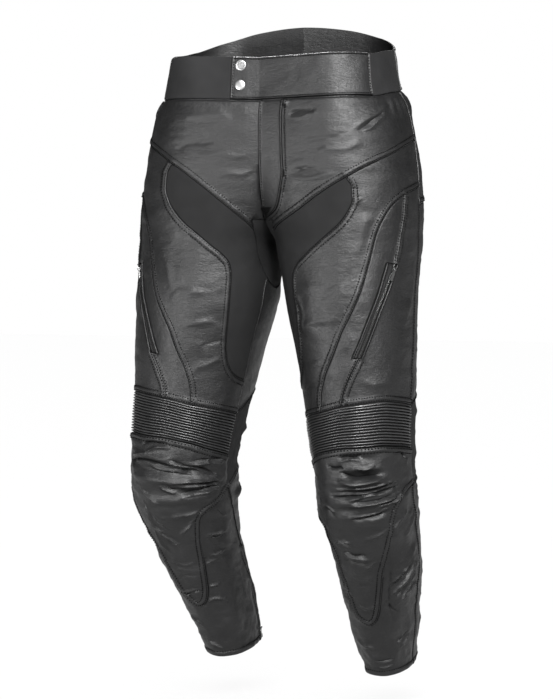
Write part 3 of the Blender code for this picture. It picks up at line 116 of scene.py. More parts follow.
# How each leg stands: its shift to +X, its width, how far it hangs lower, and its turn:
# level, lean, widen, drop, turn
POSES = {
    LEFT: (
        (0.13, 0.0, 1.0, 0.0, 0.0),
        (-0.245, 0.0, 1.0, 0.0, 0.0),
        (-0.33, 0.004, 0.94, 0.0, 0.0),
        (-0.5, 0.003, 0.94, 0.008, 3.0),
        (-0.65, 0.006, 0.96, 0.012, 5.0),
        (-0.75, 0.014, 0.98, 0.014, 6.0),
        (-0.85, 0.023, 0.97, 0.014, 5.0),
        (-0.915, 0.028, 0.93, 0.014, 3.0),
    ),
    RIGHT: (
        (0.13, 0.0, 1.0, 0.0, 0.0),
        (-0.245, 0.0, 1.0, 0.0, 0.0),
        (-0.33, -0.001, 1.04, 0.0, 0.0),
        (-0.5, 0.0, 1.04, 0.0, 3.0),
        (-0.65, 0.0, 1.03, 0.0, 5.0),
        (-0.75, 0.005, 1.0, -0.002, 6.0),
        (-0.85, 0.013, 1.0, -0.002, 5.0),
        (-0.915, 0.02, 1.0, -0.002, 3.0),
    ),
}

# The waist seam dips at the front and rises at the back: angle, rise
WAIST_RISE = (
    (-60.0, -0.0185), (-20.0, -0.015), (20.0, -0.012), (45.0, -0.011), (70.0, -0.004),
    (100.0, 0.001), (130.0, 0.008), (160.0, 0.024), (190.0, 0.038), (222.0, 0.044),
    (240.0, 0.044),
)
RISE_FADES_TO = -0.160

# The band's height above the waist seam, and where its pieces meet: angle, height
BAND_HEIGHT = (
    (-60.0, 0.066), (20.0, 0.067), (70.0, 0.066), (100.0, 0.066), (130.0, 0.068), (222.0, 0.073),
    (240.0, 0.073),
)
BAND_TAB_END = -23.5
BAND_LEATHER_END = 42.0
BAND_BACK_START = 112.0

# Seams of one leg: angle, level. A third column is how much lower they run on the left leg
# than on the middle line, and higher on the right.
V_SEAM = (
    (95.0, -0.07, 0.006), (65.0, -0.08, 0.009), (38.0, -0.096, 0.013), (10.0, -0.131, 0.013),
    (-4.0, -0.153, 0.011), (-20.0, -0.18, 0.009), (-33.0, -0.2, 0.005), (-48.0, -0.222, 0.0),
)
LEAF_START = 14.0
LEAF_SEAM = (
    (17.5, -0.143, 0.011), (17.5, -0.162, 0.01), (14.0, -0.182, 0.009), (9.0, -0.198, 0.009),
    (2.0, -0.214, 0.008), (-8.0, -0.232, 0.008), (-18.0, -0.25, 0.008), (-27.0, -0.265, 0.008),
    (-33.0, -0.28, 0.008), (-35.0, -0.3, 0.006), (-35.0, -0.33, 0.004), (-37.0, -0.365, 0.002),
    (-41.0, -0.405, 0.0), (-47.0, -0.432, 0.0), (-57.0, -0.448, 0.0), (-73.0, -0.458, 0.0),
)
OUTSEAM = (
    (98.0, 0.0), (98.0, -0.05), (95.0, -0.1), (91.0, -0.155), (88.0, -0.2), (91.0, -0.27),
    (91.0, -0.33), (88.0, -0.48), (89.0, -0.55), (92.0, -0.605), (96.0, -0.65), (99.0, -0.7),
    (97.0, -0.75), (91.0, -0.8), (88.0, -0.86), (88.0, -0.915),
)
INSEAM_TOP_ANGLE = -71.0
INSEAM = (
    (-68.5, -0.305), (-67.5, -0.33), (-68.0, -0.365), (-70.0, -0.4), (-73.0, -0.458),
    (-74.0, -0.51), (-75.0, -0.575), (-82.0, -0.625), (-96.0, -0.682), (-106.0, -0.72),
    (-112.0, -0.755), (-117.0, -0.79), (-120.0, -0.83), (-122.0, -0.88), (-122.0, -0.915),
)
OUTER_CURVE = (
    (91.4, -0.15), (61.0, -0.165), (48.0, -0.18), (40.0, -0.2), (35.0, -0.222), (30.0, -0.264),
    (23.0, -0.314), (15.0, -0.349), (6.0, -0.378), (-2.0, -0.409), (-12.0, -0.442),
    (-17.0, -0.466), (-19.0, -0.488),
)
POCKET_START = 61.0
POCKET_UPPER = (
    (61.0, -0.165), (59.0, -0.19), (56.5, -0.22), (52.0, -0.272),
)
POCKET_ZIP = (
    (52.0, -0.272), (45.0, -0.308), (36.0, -0.346), (28.0, -0.378), (19.0, -0.413),
)
POCKET_LOWER = (
    (19.0, -0.413), (11.0, -0.438), (5.0, -0.46), (2.0, -0.479),
)
WELT_LINE = (
    (43.5, -0.27), (36.0, -0.32), (23.5, -0.374), (13.0, -0.414),
)
KNEE_TOP = (
    (88.0, -0.485), (60.0, -0.477), (40.0, -0.473), (20.0, -0.475), (2.0, -0.479),
    (-19.0, -0.488), (-35.0, -0.494), (-54.0, -0.502), (-74.0, -0.51),
)
KNEE_BOTTOM = (
    (89.0, -0.55), (57.0, -0.54), (33.0, -0.535), (5.0, -0.536), (-20.0, -0.544), (-43.0, -0.558),
    (-75.0, -0.575),
)
SHIN_SEAM = (
    (92.0, -0.605), (70.0, -0.612), (54.0, -0.632), (46.0, -0.662), (37.0, -0.7), (26.0, -0.738),
    (21.0, -0.775), (17.0, -0.8), (10.0, -0.819), (0.0, -0.826), (-10.0, -0.82), (-18.0, -0.804),
    (-24.0, -0.778), (-29.0, -0.745), (-32.0, -0.705), (-37.0, -0.668), (-60.0, -0.647),
    (-82.0, -0.625),
)
BACK_YOKE_SEAM = (
    (89.5, -0.178), (120.0, -0.172), (150.0, -0.156), (185.0, -0.138), (222.0, -0.128),
)
BACK_KNEE_TOP = (
    (88.0, -0.485), (135.0, -0.474), (190.0, -0.47), (240.0, -0.482), (286.0, -0.51),
)
BACK_KNEE_BOTTOM = (
    (92.0, -0.605), (140.0, -0.6), (190.0, -0.598), (235.0, -0.606), (278.0, -0.625),
)

# Fly, gusset, zips and hem
FLY_SEAM = (
    (-26.0, 0.0), (-25.5, -0.06), (-26.0, -0.12), (-30.0, -0.16), (-36.0, -0.186),
)
GUSSET_TOP = -0.2035
GUSSET_HALF = 0.017
GUSSET_BACK = -0.190
ANKLE_ZIP_TOP = -0.745
ANKLE_ZIP_TOP_SPREAD = 2.6
ANKLE_ZIP_HEM_SPREAD = 5.0
POCKET_ZIP_SPREAD = 1.9
HEM = -0.915

# Folds that show from a step away: first angle and level, last angle and level, half width,
# and height, which is below nothing for a trough
FOLDS = {
    LEFT: (
        (-2.0, -0.552, 34.0, -0.549, 0.007, -0.0035),
        (0.0, -0.572, 42.0, -0.574, 0.008, -0.0055),
        (-24.0, -0.586, 42.0, -0.583, 0.008, 0.0045),
        (-14.0, -0.605, 44.0, -0.597, 0.008, -0.004),
        (-20.0, -0.621, 65.0, -0.612, 0.009, 0.0045),
        (5.0, -0.64, 55.0, -0.631, 0.008, -0.0035),
        (45.0, -0.768, 96.0, -0.722, 0.009, 0.004),
        (40.0, -0.742, 88.0, -0.7, 0.009, 0.0035),
    ),
    RIGHT: (
        (41.0, -0.58, -35.0, -0.592, 0.009, -0.0055),
        (30.0, -0.566, -20.0, -0.572, 0.009, 0.0045),
        (-6.0, -0.576, -42.0, -0.583, 0.007, 0.0035),
        (36.0, -0.6, -71.0, -0.609, 0.009, 0.0045),
        (-7.0, -0.619, -67.0, -0.623, 0.007, -0.0035),
        (20.0, -0.636, -52.0, -0.634, 0.009, 0.004),
        (42.0, -0.765, 92.0, -0.724, 0.009, 0.0035),
    ),
}
BACK_FOLDS = (
    (262.0, -0.655, 215.0, -0.64, 0.009, 0.004),
    (110.0, -0.5, 235.0, -0.508, 0.01, 0.005),
    (120.0, -0.535, 255.0, -0.545, 0.01, 0.006),
    (115.0, -0.57, 245.0, -0.58, 0.01, 0.005),
    (130.0, -0.87, 190.0, -0.85, 0.01, 0.004),
)
FOLD_FULLNESS = 0.7

# Gathers below the side of the waistband
GATHER_ANGLES = (62.0, 74.0, 86.0, 108.0, 120.0)
GATHER_TOP = -0.004
GATHER_LENGTH = 0.038
GATHER_HALF_WIDTH = 0.010
GATHER_HEIGHT = 0.0030

# Soft creases of the leather, uneven in length, depth and spacing: first angle and level,
# last angle and level, half width, height, bow
CREASES = {
    LEFT: (
        (-2.0, -0.549, 19.5, -0.546, 0.0034, -0.005, 0.001),
        (-3.5, -0.554, 20.5, -0.551, 0.0028, 0.0025, 0.001),
        (-14.5, -0.564, 2.0, -0.564, 0.0032, -0.0055, 0.001),
        (-2.5, -0.57, 35.5, -0.575, 0.0038, -0.0068, -0.004),
        (-4.5, -0.581, 35.5, -0.581, 0.0036, 0.0051, -0.006),
        (10.5, -0.563, 31.0, -0.56, 0.0031, 0.0028, -0.004),
        (-6.0, -0.596, 53.5, -0.59, 0.002, 0.0028, 0.0),
        (-6.5, -0.599, 59.0, -0.59, 0.0022, -0.0035, -0.002),
        (-15.0, -0.605, 56.0, -0.594, 0.002, 0.0028, -0.001),
        (-15.0, -0.608, 60.5, -0.597, 0.0022, -0.0035, -0.001),
        (1.5, -0.612, 32.0, -0.603, 0.0023, 0.003, 0.001),
        (4.5, -0.62, 62.0, -0.608, 0.0023, 0.0034, -0.002),
        (5.0, -0.615, 50.5, -0.608, 0.0024, -0.0035, -0.001),
        (28.5, -0.624, 63.5, -0.611, 0.0021, 0.0034, -0.002),
        (30.5, -0.621, 60.5, -0.609, 0.0022, -0.0035, -0.001),
        (1.5, -0.638, 44.5, -0.627, 0.0025, 0.0034, -0.002),
        (2.5, -0.641, 38.5, -0.633, 0.0028, -0.0032, -0.003),
        (55.0, -0.549, 77.0, -0.569, 0.0025, 0.0028, 0.002),
        (54.5, -0.546, 77.0, -0.563, 0.003, -0.0037, 0.002),
        (-34.0, -0.618, -10.5, -0.633, 0.0021, 0.003, 0.003),
        (-31.5, -0.624, -11.5, -0.638, 0.0026, -0.0032, 0.002),
        (-17.5, -0.677, -0.5, -0.681, 0.0023, 0.003, -0.001),
        (-20.5, -0.683, -2.0, -0.686, 0.0026, -0.003, 0.0),
        (-14.0, -0.702, 14.5, -0.708, 0.0026, 0.0037, 0.0),
        (-13.0, -0.698, 11.5, -0.702, 0.0028, -0.0035, -0.001),
        (-15.0, -0.711, 12.0, -0.714, 0.004, -0.003, -0.002),
        (7.0, -0.723, 22.5, -0.71, 0.0028, 0.0023, -0.002),
        (30.0, -0.762, 79.5, -0.713, 0.0022, 0.0032, 0.003),
        (34.0, -0.778, 82.0, -0.726, 0.0022, 0.0034, 0.002),
        (38.0, -0.796, 84.5, -0.744, 0.0022, 0.003, 0.002),
        (36.0, -0.766, 80.0, -0.72, 0.003, -0.0034, 0.003),
        (40.0, -0.783, 82.0, -0.735, 0.003, -0.0034, 0.002),
        (34.0, -0.69, 30.0, -0.83, 0.014, -0.005, 0.006),
        (51.5, -0.785, 85.5, -0.762, 0.0023, 0.0028, 0.001),
        (40.5, -0.872, 69.5, -0.852, 0.0025, 0.0028, 0.001),
        (35.5, -0.866, 63.5, -0.846, 0.0032, -0.0028, 0.002),
        (2.0, -0.899, 28.5, -0.896, 0.002, 0.0023, 0.0),
        (-2.0, -0.884, 28.0, -0.884, 0.0032, -0.0025, -0.004),
        (-31.0, -0.734, -13.5, -0.777, 0.0023, 0.0028, -0.006),
        (-10.0, -0.789, 14.5, -0.791, 0.003, 0.0021, -0.005),
        (-10.5, -0.737, 18.5, -0.735, 0.0033, 0.0018, -0.007),
        (25.5, -0.782, 44.0, -0.807, 0.004, -0.0022, -0.003),
        (-29.5, -0.86, 6.5, -0.869, 0.003, 0.0021, 0.001),
        (11.5, -0.677, 40.5, -0.66, 0.0033, 0.0021, -0.001),
        (39.5, -0.669, 71.5, -0.638, 0.0028, 0.0023, -0.002),
        (62.5, -0.68, 90.0, -0.647, 0.0025, 0.0025, -0.002),
        (-21.5, -0.024, -3.5, -0.02, 0.005, -0.003, 0.0),
        (-20.5, -0.033, -1.5, -0.027, 0.005, 0.0016, -0.001),
        (19.5, -0.057, 54.5, -0.015, 0.0044, 0.0026, 0.002),
        (27.5, -0.06, 49.5, -0.026, 0.0036, 0.0024, -0.002),
        (23.5, -0.06, 49.5, -0.021, 0.0038, -0.0024, 0.0),
        (-24.5, -0.138, 8.5, -0.132, 0.006, 0.0022, -0.003),
        (-20.5, -0.123, -3.0, -0.12, 0.0055, -0.0024, -0.002),
        (-3.0, -0.09, 27.0, -0.078, 0.006, 0.002, -0.006),
        (-14.0, -0.072, 16.0, -0.062, 0.006, -0.0016, -0.004),
        (-34.0, -0.374, 6.5, -0.354, 0.006, 0.0018, 0.003),
        (-39.5, -0.435, 5.5, -0.401, 0.006, 0.0016, -0.002),
        (-10.0, -0.327, 16.5, -0.281, 0.007, -0.0016, -0.005),
        (-31.5, -0.312, -29.0, -0.377, 0.005, 0.0018, 0.006),
        (30.5, -0.189, 17.0, -0.269, 0.008, 0.0016, -0.001),
        (-58.5, -0.465, -2.5, -0.44, 0.005, -0.0018, -0.002),
        (19.5, -0.443, 56.5, -0.446, 0.006, 0.0016, -0.005),
        (64.0, -0.214, 34.0, -0.31, 0.012, -0.0016, 0.012),
        (26.0, -0.19, 4.0, -0.28, 0.014, 0.0016, -0.01),
        (82.0, -0.26, 66.0, -0.372, 0.011, 0.0018, 0.01),
        (12.0, -0.33, -20.0, -0.43, 0.012, -0.0014, 0.01),
        (-16.0, -0.29, -28.0, -0.39, 0.01, 0.0014, 0.006),
        (120.0, -0.22, 175.0, -0.26, 0.013, 0.0026, 0.01),
        (130.0, -0.27, 200.0, -0.3, 0.012, -0.0024, 0.008),
        (210.0, -0.205, 262.0, -0.262, 0.011, 0.003, -0.01),
        (200.0, -0.24, 256.0, -0.3, 0.011, -0.0026, -0.008),
        (118.0, -0.44, 225.0, -0.446, 0.009, 0.0026, 0.008),
        (130.0, -0.52, 250.0, -0.524, 0.006, -0.0026, 0.006),
        (128.0, -0.556, 250.0, -0.562, 0.006, -0.0028, 0.005),
        (118.0, -0.66, 200.0, -0.64, 0.008, 0.0024, -0.006),
        (112.0, -0.76, 172.0, -0.735, 0.009, 0.0018, 0.006),
        (120.0, -0.852, 215.0, -0.836, 0.008, 0.0022, 0.005),
        (100.0, -0.884, 190.0, -0.876, 0.006, -0.0016, 0.003),
    ),
    RIGHT: (
        (45.0, -0.579, -31.5, -0.591, 0.0045, -0.0075, -0.012),
        (-6.5, -0.569, -57.0, -0.6, 0.003, -0.005, -0.001),
        (0.5, -0.573, -60.5, -0.605, 0.0021, 0.0034, -0.004),
        (9.0, -0.581, -31.5, -0.593, 0.0026, 0.0041, 0.001),
        (-31.5, -0.579, -68.0, -0.584, 0.0025, 0.003, 0.0),
        (-29.0, -0.573, -65.5, -0.579, 0.0026, -0.0032, -0.001),
        (-9.0, -0.606, -67.5, -0.614, 0.0021, 0.003, -0.003),
        (-11.5, -0.609, -63.5, -0.615, 0.0022, -0.0032, -0.002),
        (-14.0, -0.612, -65.5, -0.62, 0.002, 0.0028, -0.001),
        (0.0, -0.609, -15.5, -0.621, 0.0025, 0.0028, 0.005),
        (-2.0, -0.605, -18.5, -0.617, 0.003, -0.0032, 0.004),
        (-15.0, -0.63, -67.0, -0.624, 0.0023, 0.003, -0.001),
        (-17.0, -0.626, -63.5, -0.621, 0.0026, -0.003, -0.003),
        (22.5, -0.618, -1.5, -0.644, 0.0021, 0.0028, 0.001),
        (22.5, -0.639, 13.5, -0.689, 0.0025, 0.0028, -0.002),
        (21.5, -0.549, -6.5, -0.546, 0.0036, -0.004, -0.004),
        (16.5, -0.561, -8.5, -0.551, 0.003, 0.0028, -0.004),
        (39.5, -0.57, 14.0, -0.561, 0.0025, 0.0025, 0.0),
        (-11.0, -0.696, -31.5, -0.666, 0.0025, 0.0025, 0.001),
        (-6.0, -0.663, -36.0, -0.656, 0.0028, 0.0023, 0.001),
        (21.0, -0.665, 3.5, -0.692, 0.0023, 0.003, 0.004),
        (15.5, -0.659, -0.5, -0.686, 0.003, -0.003, 0.002),
        (12.0, -0.69, -9.5, -0.714, 0.0023, 0.0028, 0.001),
        (12.0, -0.699, -7.5, -0.72, 0.0034, -0.0032, 0.0),
        (19.5, -0.693, 9.0, -0.732, 0.0026, 0.0025, 0.001),
        (34.0, -0.812, -16.0, -0.792, 0.0028, 0.0028, -0.002),
        (22.0, -0.813, -13.0, -0.798, 0.003, -0.003, -0.002),
        (-40.0, -0.702, -69.5, -0.701, 0.0023, 0.0025, 0.001),
        (-41.0, -0.708, -70.0, -0.707, 0.0028, -0.0025, 0.001),
        (-37.0, -0.74, -66.5, -0.734, 0.0025, 0.0025, 0.0),
        (-19.5, -0.792, -39.0, -0.789, 0.0023, 0.0023, 0.0),
        (36.5, -0.855, 5.5, -0.864, 0.0028, 0.0025, -0.007),
        (10.5, -0.885, -11.0, -0.899, 0.0021, 0.0021, 0.001),
        (-22.0, -0.755, -58.5, -0.746, 0.0028, 0.0021, -0.001),
        (-5.5, -0.822, -41.5, -0.818, 0.003, 0.0021, -0.006),
        (11.0, -0.746, -20.0, -0.747, 0.0033, 0.0018, 0.005),
        (15.0, -0.779, -19.0, -0.767, 0.004, -0.002, -0.003),
        (-52.5, -0.651, -72.5, -0.675, 0.0025, 0.0023, 0.004),
        (-17.5, -0.128, -38.0, -0.125, 0.006, 0.0022, 0.005),
        (12.0, -0.087, -15.0, -0.074, 0.007, -0.0026, -0.004),
        (9.0, -0.036, -25.0, -0.032, 0.007, 0.0018, -0.008),
        (-3.0, -0.099, -33.5, -0.099, 0.006, 0.0014, -0.003),
        (-0.5, -0.377, -31.5, -0.371, 0.006, 0.0018, -0.011),
        (8.5, -0.329, -16.5, -0.317, 0.007, 0.0016, -0.008),
        (-16.5, -0.441, -41.5, -0.426, 0.005, 0.0018, -0.006),
        (20.0, -0.251, 7.0, -0.317, 0.006, 0.0016, -0.005),
        (-19.5, -0.404, -41.5, -0.399, 0.005, -0.0016, -0.007),
        (66.0, -0.21, 30.0, -0.3, 0.012, 0.0018, 0.012),
        (30.0, -0.2, 2.0, -0.3, 0.014, -0.0014, -0.01),
        (84.0, -0.24, 62.0, -0.352, 0.011, 0.0018, 0.01),
        (48.0, -0.33, 20.0, -0.4, 0.01, -0.0014, 0.008),
        (-8.0, -0.3, -26.0, -0.42, 0.012, 0.0014, 0.01),
        (118.0, -0.226, 172.0, -0.252, 0.013, 0.0026, 0.01),
        (134.0, -0.282, 196.0, -0.306, 0.012, -0.0022, 0.008),
        (212.0, -0.21, 260.0, -0.268, 0.011, 0.003, -0.01),
        (204.0, -0.246, 252.0, -0.31, 0.011, -0.0024, -0.008),
        (122.0, -0.446, 220.0, -0.44, 0.009, 0.0028, 0.008),
        (126.0, -0.518, 246.0, -0.528, 0.006, -0.0026, 0.006),
        (124.0, -0.552, 252.0, -0.56, 0.006, -0.0028, 0.005),
        (120.0, -0.664, 204.0, -0.644, 0.008, 0.0024, -0.006),
        (114.0, -0.77, 170.0, -0.748, 0.009, 0.0018, 0.006),
        (124.0, -0.846, 218.0, -0.832, 0.008, 0.0022, 0.005),
        (104.0, -0.882, 188.0, -0.872, 0.006, -0.0016, 0.003),
    ),
}
# How a crease's hollow or ridge falls away, how far the inner sheet follows it, and how its
# middle line sways
HOLLOW_REACH = 0.62
RIDGE_FALL = 1.6
INNER_REACH = 1.6
SWAY_SHARE = 0.25
SWAY_TURNS = 9
SWAY_START = 9000

# How crumpled the leather is down the garment: level, height
CRUMPLE = (
    (-0.915, 0.0024), (-0.86, 0.0027), (-0.76, 0.0022), (-0.66, 0.0025), (-0.6, 0.0027),
    (-0.54, 0.0019), (-0.46, 0.0011), (-0.3, 0.0012), (-0.1, 0.0012), (0.0, 0.001),
    (0.08, 0.0006),
)
# The crumples' layers: cell width, cell height, seed
WARP_CELLS = (0.060, 0.050, 3)
BROAD_CELLS = (0.042, 0.024, 11)
RIDGE_CELLS = (0.026, 0.013, 23)
FINE_CELLS = (0.011, 0.007, 37)
WARP_REACH = 0.012
RIDGE_WARP = 0.4
BROAD_SHARE = 0.75
SHARP_SHARE = 0.40
FINE_SHARE = 0.16
# How the lattice's places and its seed are mixed into one uneven number
NOISE_TURNS = (127.1, 311.7, 74.7)
NOISE_SPREAD = 43758.5453

# How closely the fine shells are drawn: grid, inner sheet, rings along each edge, and creases
GRID_STEP = 0.0044
GRID_CLEAR = 0.0130
ROW_SHARE = 0.866
INNER_STEP = 0.0090
INNER_CLEAR = 0.6 * INNER_STEP
RING_OFFSETS = (0.0007, 0.0014, 0.0021, 0.0030, 0.0046, 0.0064, 0.0078, 0.0088, 0.0105)
SPARSE_FROM = 0.005
RING_HOLD = 0.86
CREASE_STEP = 0.0030
CREASE_LEAST = 6
CREASE_OFFSETS = (-1.9, -1.0, -0.45, 0.0, 0.45, 1.0, 1.9)
CREASE_CLEAR = 0.0020
ROWS_CLEAR = 0.0006
CLOSEST = 0.0007
LEAST_CREASED = 0.3
STEPS_AT_ONCE = 40
# Edges sharper than this, in degrees, aren't shaded smooth
SMOOTH_ANGLE = 55

# The seam's groove, its raised allowance and the channels that the stitches lie in
GROOVE_DEPTH = 0.0010
GROOVE_WIDTH = 0.0008
RIDGE_HEIGHT = 0.0018
RIDGE_SHIFT = 0.0004
RIDGE_LEAST = 0.0016
CHANNEL_DEPTH = 0.0008
CHANNEL_WIDTH = 0.0010
TUCK_DEPTH = 0.0026
TUCK_WIDTH = 0.0026
TUCK_RIDGE = 0.0007
TUCK_REACH = 0.0058
PUFF_HEIGHT = 0.0008
PUFF_REACH = 0.0200
# How far from its edge a piece is fully creased, and what is left of that at the edge
CALM_WIDTH = 0.006
EDGE_CREASED = 0.35
EDGE_CRUMPLED = 0.3

# How far from a seam its stitch rows lie
NEAR_ROW = 0.0024
FAR_ROW = 0.0086
HEM_ROW = 0.0100
ANKLE_ROW = 0.0055
BAND_ROW = (0.0030,)
DOUBLE = (NEAR_ROW, FAR_ROW)
SINGLE = (NEAR_ROW,)

# Stitches
STITCH_PITCH = 0.0044
STITCH_LENGTH = 0.0029
STITCH_RADIUS = 0.00110
STITCH_SIDES = 5
STITCH_SHOULDER = 0.55
STITCH_LIFT = 0.0001
STITCH_CLEAR = 0.0016
STITCH_HOLD = 0.7

# The bar tack at the fly's foot
TACK_ROWS = 8
TACK_TOP = -0.184
TACK_HEIGHT = 0.014
TACK_ANGLE = -44.5
TACK_LEAN = 3.5
TACK_REACH = 6.0
TACK_TAPER = 0.85
TACK_LIFT = 0.0022

# Knee ribs
RIB_COUNT = 15
RIB_RELIEF = 0.0052
RIB_SINK = 0.0022
RIB_LEAN = 0.80
RIB_ROUND = 0.75
RIB_UNEVEN = 0.12
RIB_UNEVEN_ANGLE = 30
RIB_START = 0.0005
RIB_EDGE = 0.0025
RIB_ROWS = 8
RIB_COLUMN_ANGLE = 1.5
RIB_END_ANGLE = 0.8
RIB_SHEAR = 0.2

# The waistband's shells, whose columns lie close together near both ends
BAND_DEGREE = 0.0021
BAND_STEP = 0.0034
BAND_ROWS = 14
BAND_EDGE_OFFSETS = (0.0, 0.0009, 0.0018, 0.0024, 0.0030, 0.0036, 0.0044, 0.0060, 0.0080)
BAND_EDGE = 0.011
BAND_PUFF = 0.0009
BAND_PUFF_REACH = 0.010
# height, cell width, cell height, seed
BAND_CRUMPLES = ((0.0006, 0.030, 0.022, 51), (0.0004, 0.012, 0.010, 52))
ELASTIC_CRUMPLE = 0.4

# The gusset's shell
GUSSET_STEP = 0.004
GUSSET_COLUMNS = 17
GUSSET_TRIM = 0.15
GUSSET_DIP = 0.0008
GUSSET_DIP_WIDTH = 0.0015
GUSSET_CRUMPLE = 0.0004
GUSSET_CELL = 0.012
GUSSET_SEED = 61

# Zip teeth: their places and size, and each tooth's rings as height and share of its width
ZIP_STEP = 0.003
TOOTH_PITCH = 0.0016
TOOTH_PROBE = 0.001
TOOTH_SMOOTH_ANGLE = 30
TOOTH_LIFT = -ZIP_SINK + 0.0001
TOOTH_ASIDE = 0.00075
TOOTH_HALF_WIDTH = 0.00135
TOOTH_HALF_LENGTH = 0.00052
TOOTH_PROFILE = ((0.0, 1.0), (0.0008, 1.0), (0.0012, 0.6))

# Snaps on the band's tab, turned from rim to middle: radius, height
SNAP_ANGLE = -29.5
SNAP_HEIGHTS = (0.053, 0.022)
SNAP_SEAT = 0.0004
SNAP_SIDES = 56
SNAP_MIDDLE = 0.0060
UPPER_SNAP = (
    (0.0084, 0.0), (0.0087, 0.0006), (0.0084, 0.0016), (0.0076, 0.0023), (0.0068, 0.0023),
    (0.0061, 0.0018), (0.0058, 0.0013), (0.004, 0.0013), (0.002, 0.0014), (0.0, 0.0014),
)
LOWER_SNAP = (
    (0.0084, 0.0), (0.0087, 0.0006), (0.0085, 0.0014), (0.0078, 0.0021), (0.0064, 0.0026),
    (0.0046, 0.0029), (0.0024, 0.0031), (0.0, 0.0031),
)

# Each cloth's slot, its wall and how far it stands off the skin
CLOTHS = {
    "leather": ("leather", WALL, 0.0),
    "stretch": ("stretch_cloth", STRETCH_WALL, 0.0),
    "ribbed": ("stretch_cloth", STRETCH_WALL, 0.0),
    "elastic": ("elastic_band", WALL, 0.0),
    "tape": ("zip_tape", ZIP_WALL, -ZIP_SINK),
}

# The cut pieces: name, cloth, the seams round the edge, the stitch rows beside some of them,
# and what else is special. A minus sign turns a seam round, +360 carries it round the leg.
YOKE_TOP = ("waist_fly", "waist_tab", "waist_leather")
YOKE_EDGE = "waist_fly waist_tab waist_leather out_yoke v_hip v_groin -gusset_yoke -gusset_top"
FLY_PIECES = (
    ("fly", "leather", "waist_front fly -centre_front",
     {"fly": (0.0018,), "centre_front": (0.0042,)},
     {"lift": FLY_LIFT, "crumple": 0.45, "tucked": ("waist_front",)}),
    ("yoke_front", "leather", f"{YOKE_EDGE} -fly",
     {"v_hip": DOUBLE, "v_groin": DOUBLE, "fly": (0.0052,)}, {"tucked": YOKE_TOP}),
)
PLAIN_YOKE = (
    ("yoke_front", "leather", f"waist_front {YOKE_EDGE} -centre_front",
     {"v_hip": DOUBLE, "v_groin": DOUBLE}, {"tucked": ("waist_front", *YOKE_TOP)}),
)
LEG_PIECES = (
    ("groin_panel", "stretch", "v_groin gusset_groin in_groin -leaf", {}, {"crumple": 0.5}),
    ("thigh_front", "leather",
     "-v_hip out_hip curve_hip curve_thigh knee_top_thigh -in_thigh -leaf",
     {"leaf": DOUBLE, "curve_hip": DOUBLE, "curve_thigh": DOUBLE, "knee_top_thigh": DOUBLE}, {}),
    ("pocket_side", "leather",
     "curve_thigh -knee_top_pocket -pocket_lower zip_bottom_front welt_bottom -welt_side"
     " -welt_top -zip_top_front -pocket_upper",
     {"pocket_upper": SINGLE, "pocket_lower": SINGLE, "knee_top_pocket": DOUBLE}, {}),
    ("pocket_welt", "leather", "zip_front welt_bottom -welt_side -welt_top",
     {"welt_side": SINGLE}, {"lift": WELT_LIFT, "crumple": 0.4}),
    ("pocket_zip", "tape",
     "zip_top_back zip_back -zip_bottom_back zip_bottom_front -zip_front -zip_top_front",
     {}, {"crumple": 0.0}),
    ("side_panel", "leather",
     "-curve_hip out_side_top out_side knee_top_side -pocket_lower zip_bottom_back -zip_back"
     " -zip_top_back -pocket_upper",
     {"pocket_upper": DOUBLE, "zip_back": SINGLE, "pocket_lower": DOUBLE,
      "knee_top_side": DOUBLE, "out_side": SINGLE}, {}),
    ("knee_ribs", "ribbed",
     "knee_top_side knee_top_pocket knee_top_thigh in_knee -knee_bottom -out_knee",
     {}, {"crumple": 0.35, "held": "gathered"}),
    ("shin_guard", "leather", "knee_bottom in_shin -shin -out_shin",
     {"knee_bottom": DOUBLE, "shin": DOUBLE}, {"lift": SHIN_LIFT, "wall": WALL + SHIN_LIFT}),
    ("lower_front", "leather",
     "shin in_lower ankle_top_front ankle_front -hem_front -out_lower",
     {"in_lower": SINGLE, "ankle_front": (ANKLE_ROW,), "hem_front": (HEM_ROW,),
      "out_lower": SINGLE}, {}),
    ("ankle_zip", "tape", "ankle_top_front ankle_front hem_zip -ankle_back -ankle_top_back",
     {}, {"crumple": 0.0}),
    ("back_yoke", "leather",
     "waist_outseam waist_stretch centre_back_yoke -back_yoke -out_side_top -out_hip -out_yoke",
     {"back_yoke": DOUBLE, "centre_back_yoke": SINGLE, "out_yoke": SINGLE, "out_hip": SINGLE},
     {"tucked": ("waist_outseam", "waist_stretch")}),
    ("back_thigh", "leather",
     "back_yoke centre_back -gusset_end+360 -gusset_back+360 in_groin+360 in_thigh+360"
     " -back_knee_top -out_side",
     {"back_knee_top": SINGLE, "centre_back": SINGLE}, {}),
    ("back_knee", "stretch",
     "back_knee_top in_knee+360 in_shin+360 -back_knee_bottom -out_shin -out_knee",
     {}, {"crumple": 0.8}),
    ("calf", "leather",
     "back_knee_bottom in_lower+360 ankle_top_back+360 ankle_back+360 -hem_back -out_lower",
     {"back_knee_bottom": SINGLE, "ankle_back": (ANKLE_ROW,), "hem_back": (HEM_ROW,)}, {}),
)

# Colours
LEATHER_COLOUR = (0.0030, 0.0030, 0.0031)
LEATHER_DARK = (0.0018, 0.0018, 0.0019)
LEATHER_PALE = (0.0048, 0.0048, 0.0050)
STRETCH_COLOUR = (0.0036, 0.0036, 0.0037)
ELASTIC_COLOUR = (0.0060, 0.0060, 0.0062)
RIBBED_COLOUR = (0.0036, 0.0036, 0.0037)
TAPE_COLOUR = (0.005, 0.005, 0.005)
THREAD_COLOUR = (0.002, 0.002, 0.002)
CUT_EDGE_COLOUR = (0.003, 0.003, 0.003)
METAL_WEAR = 0.06

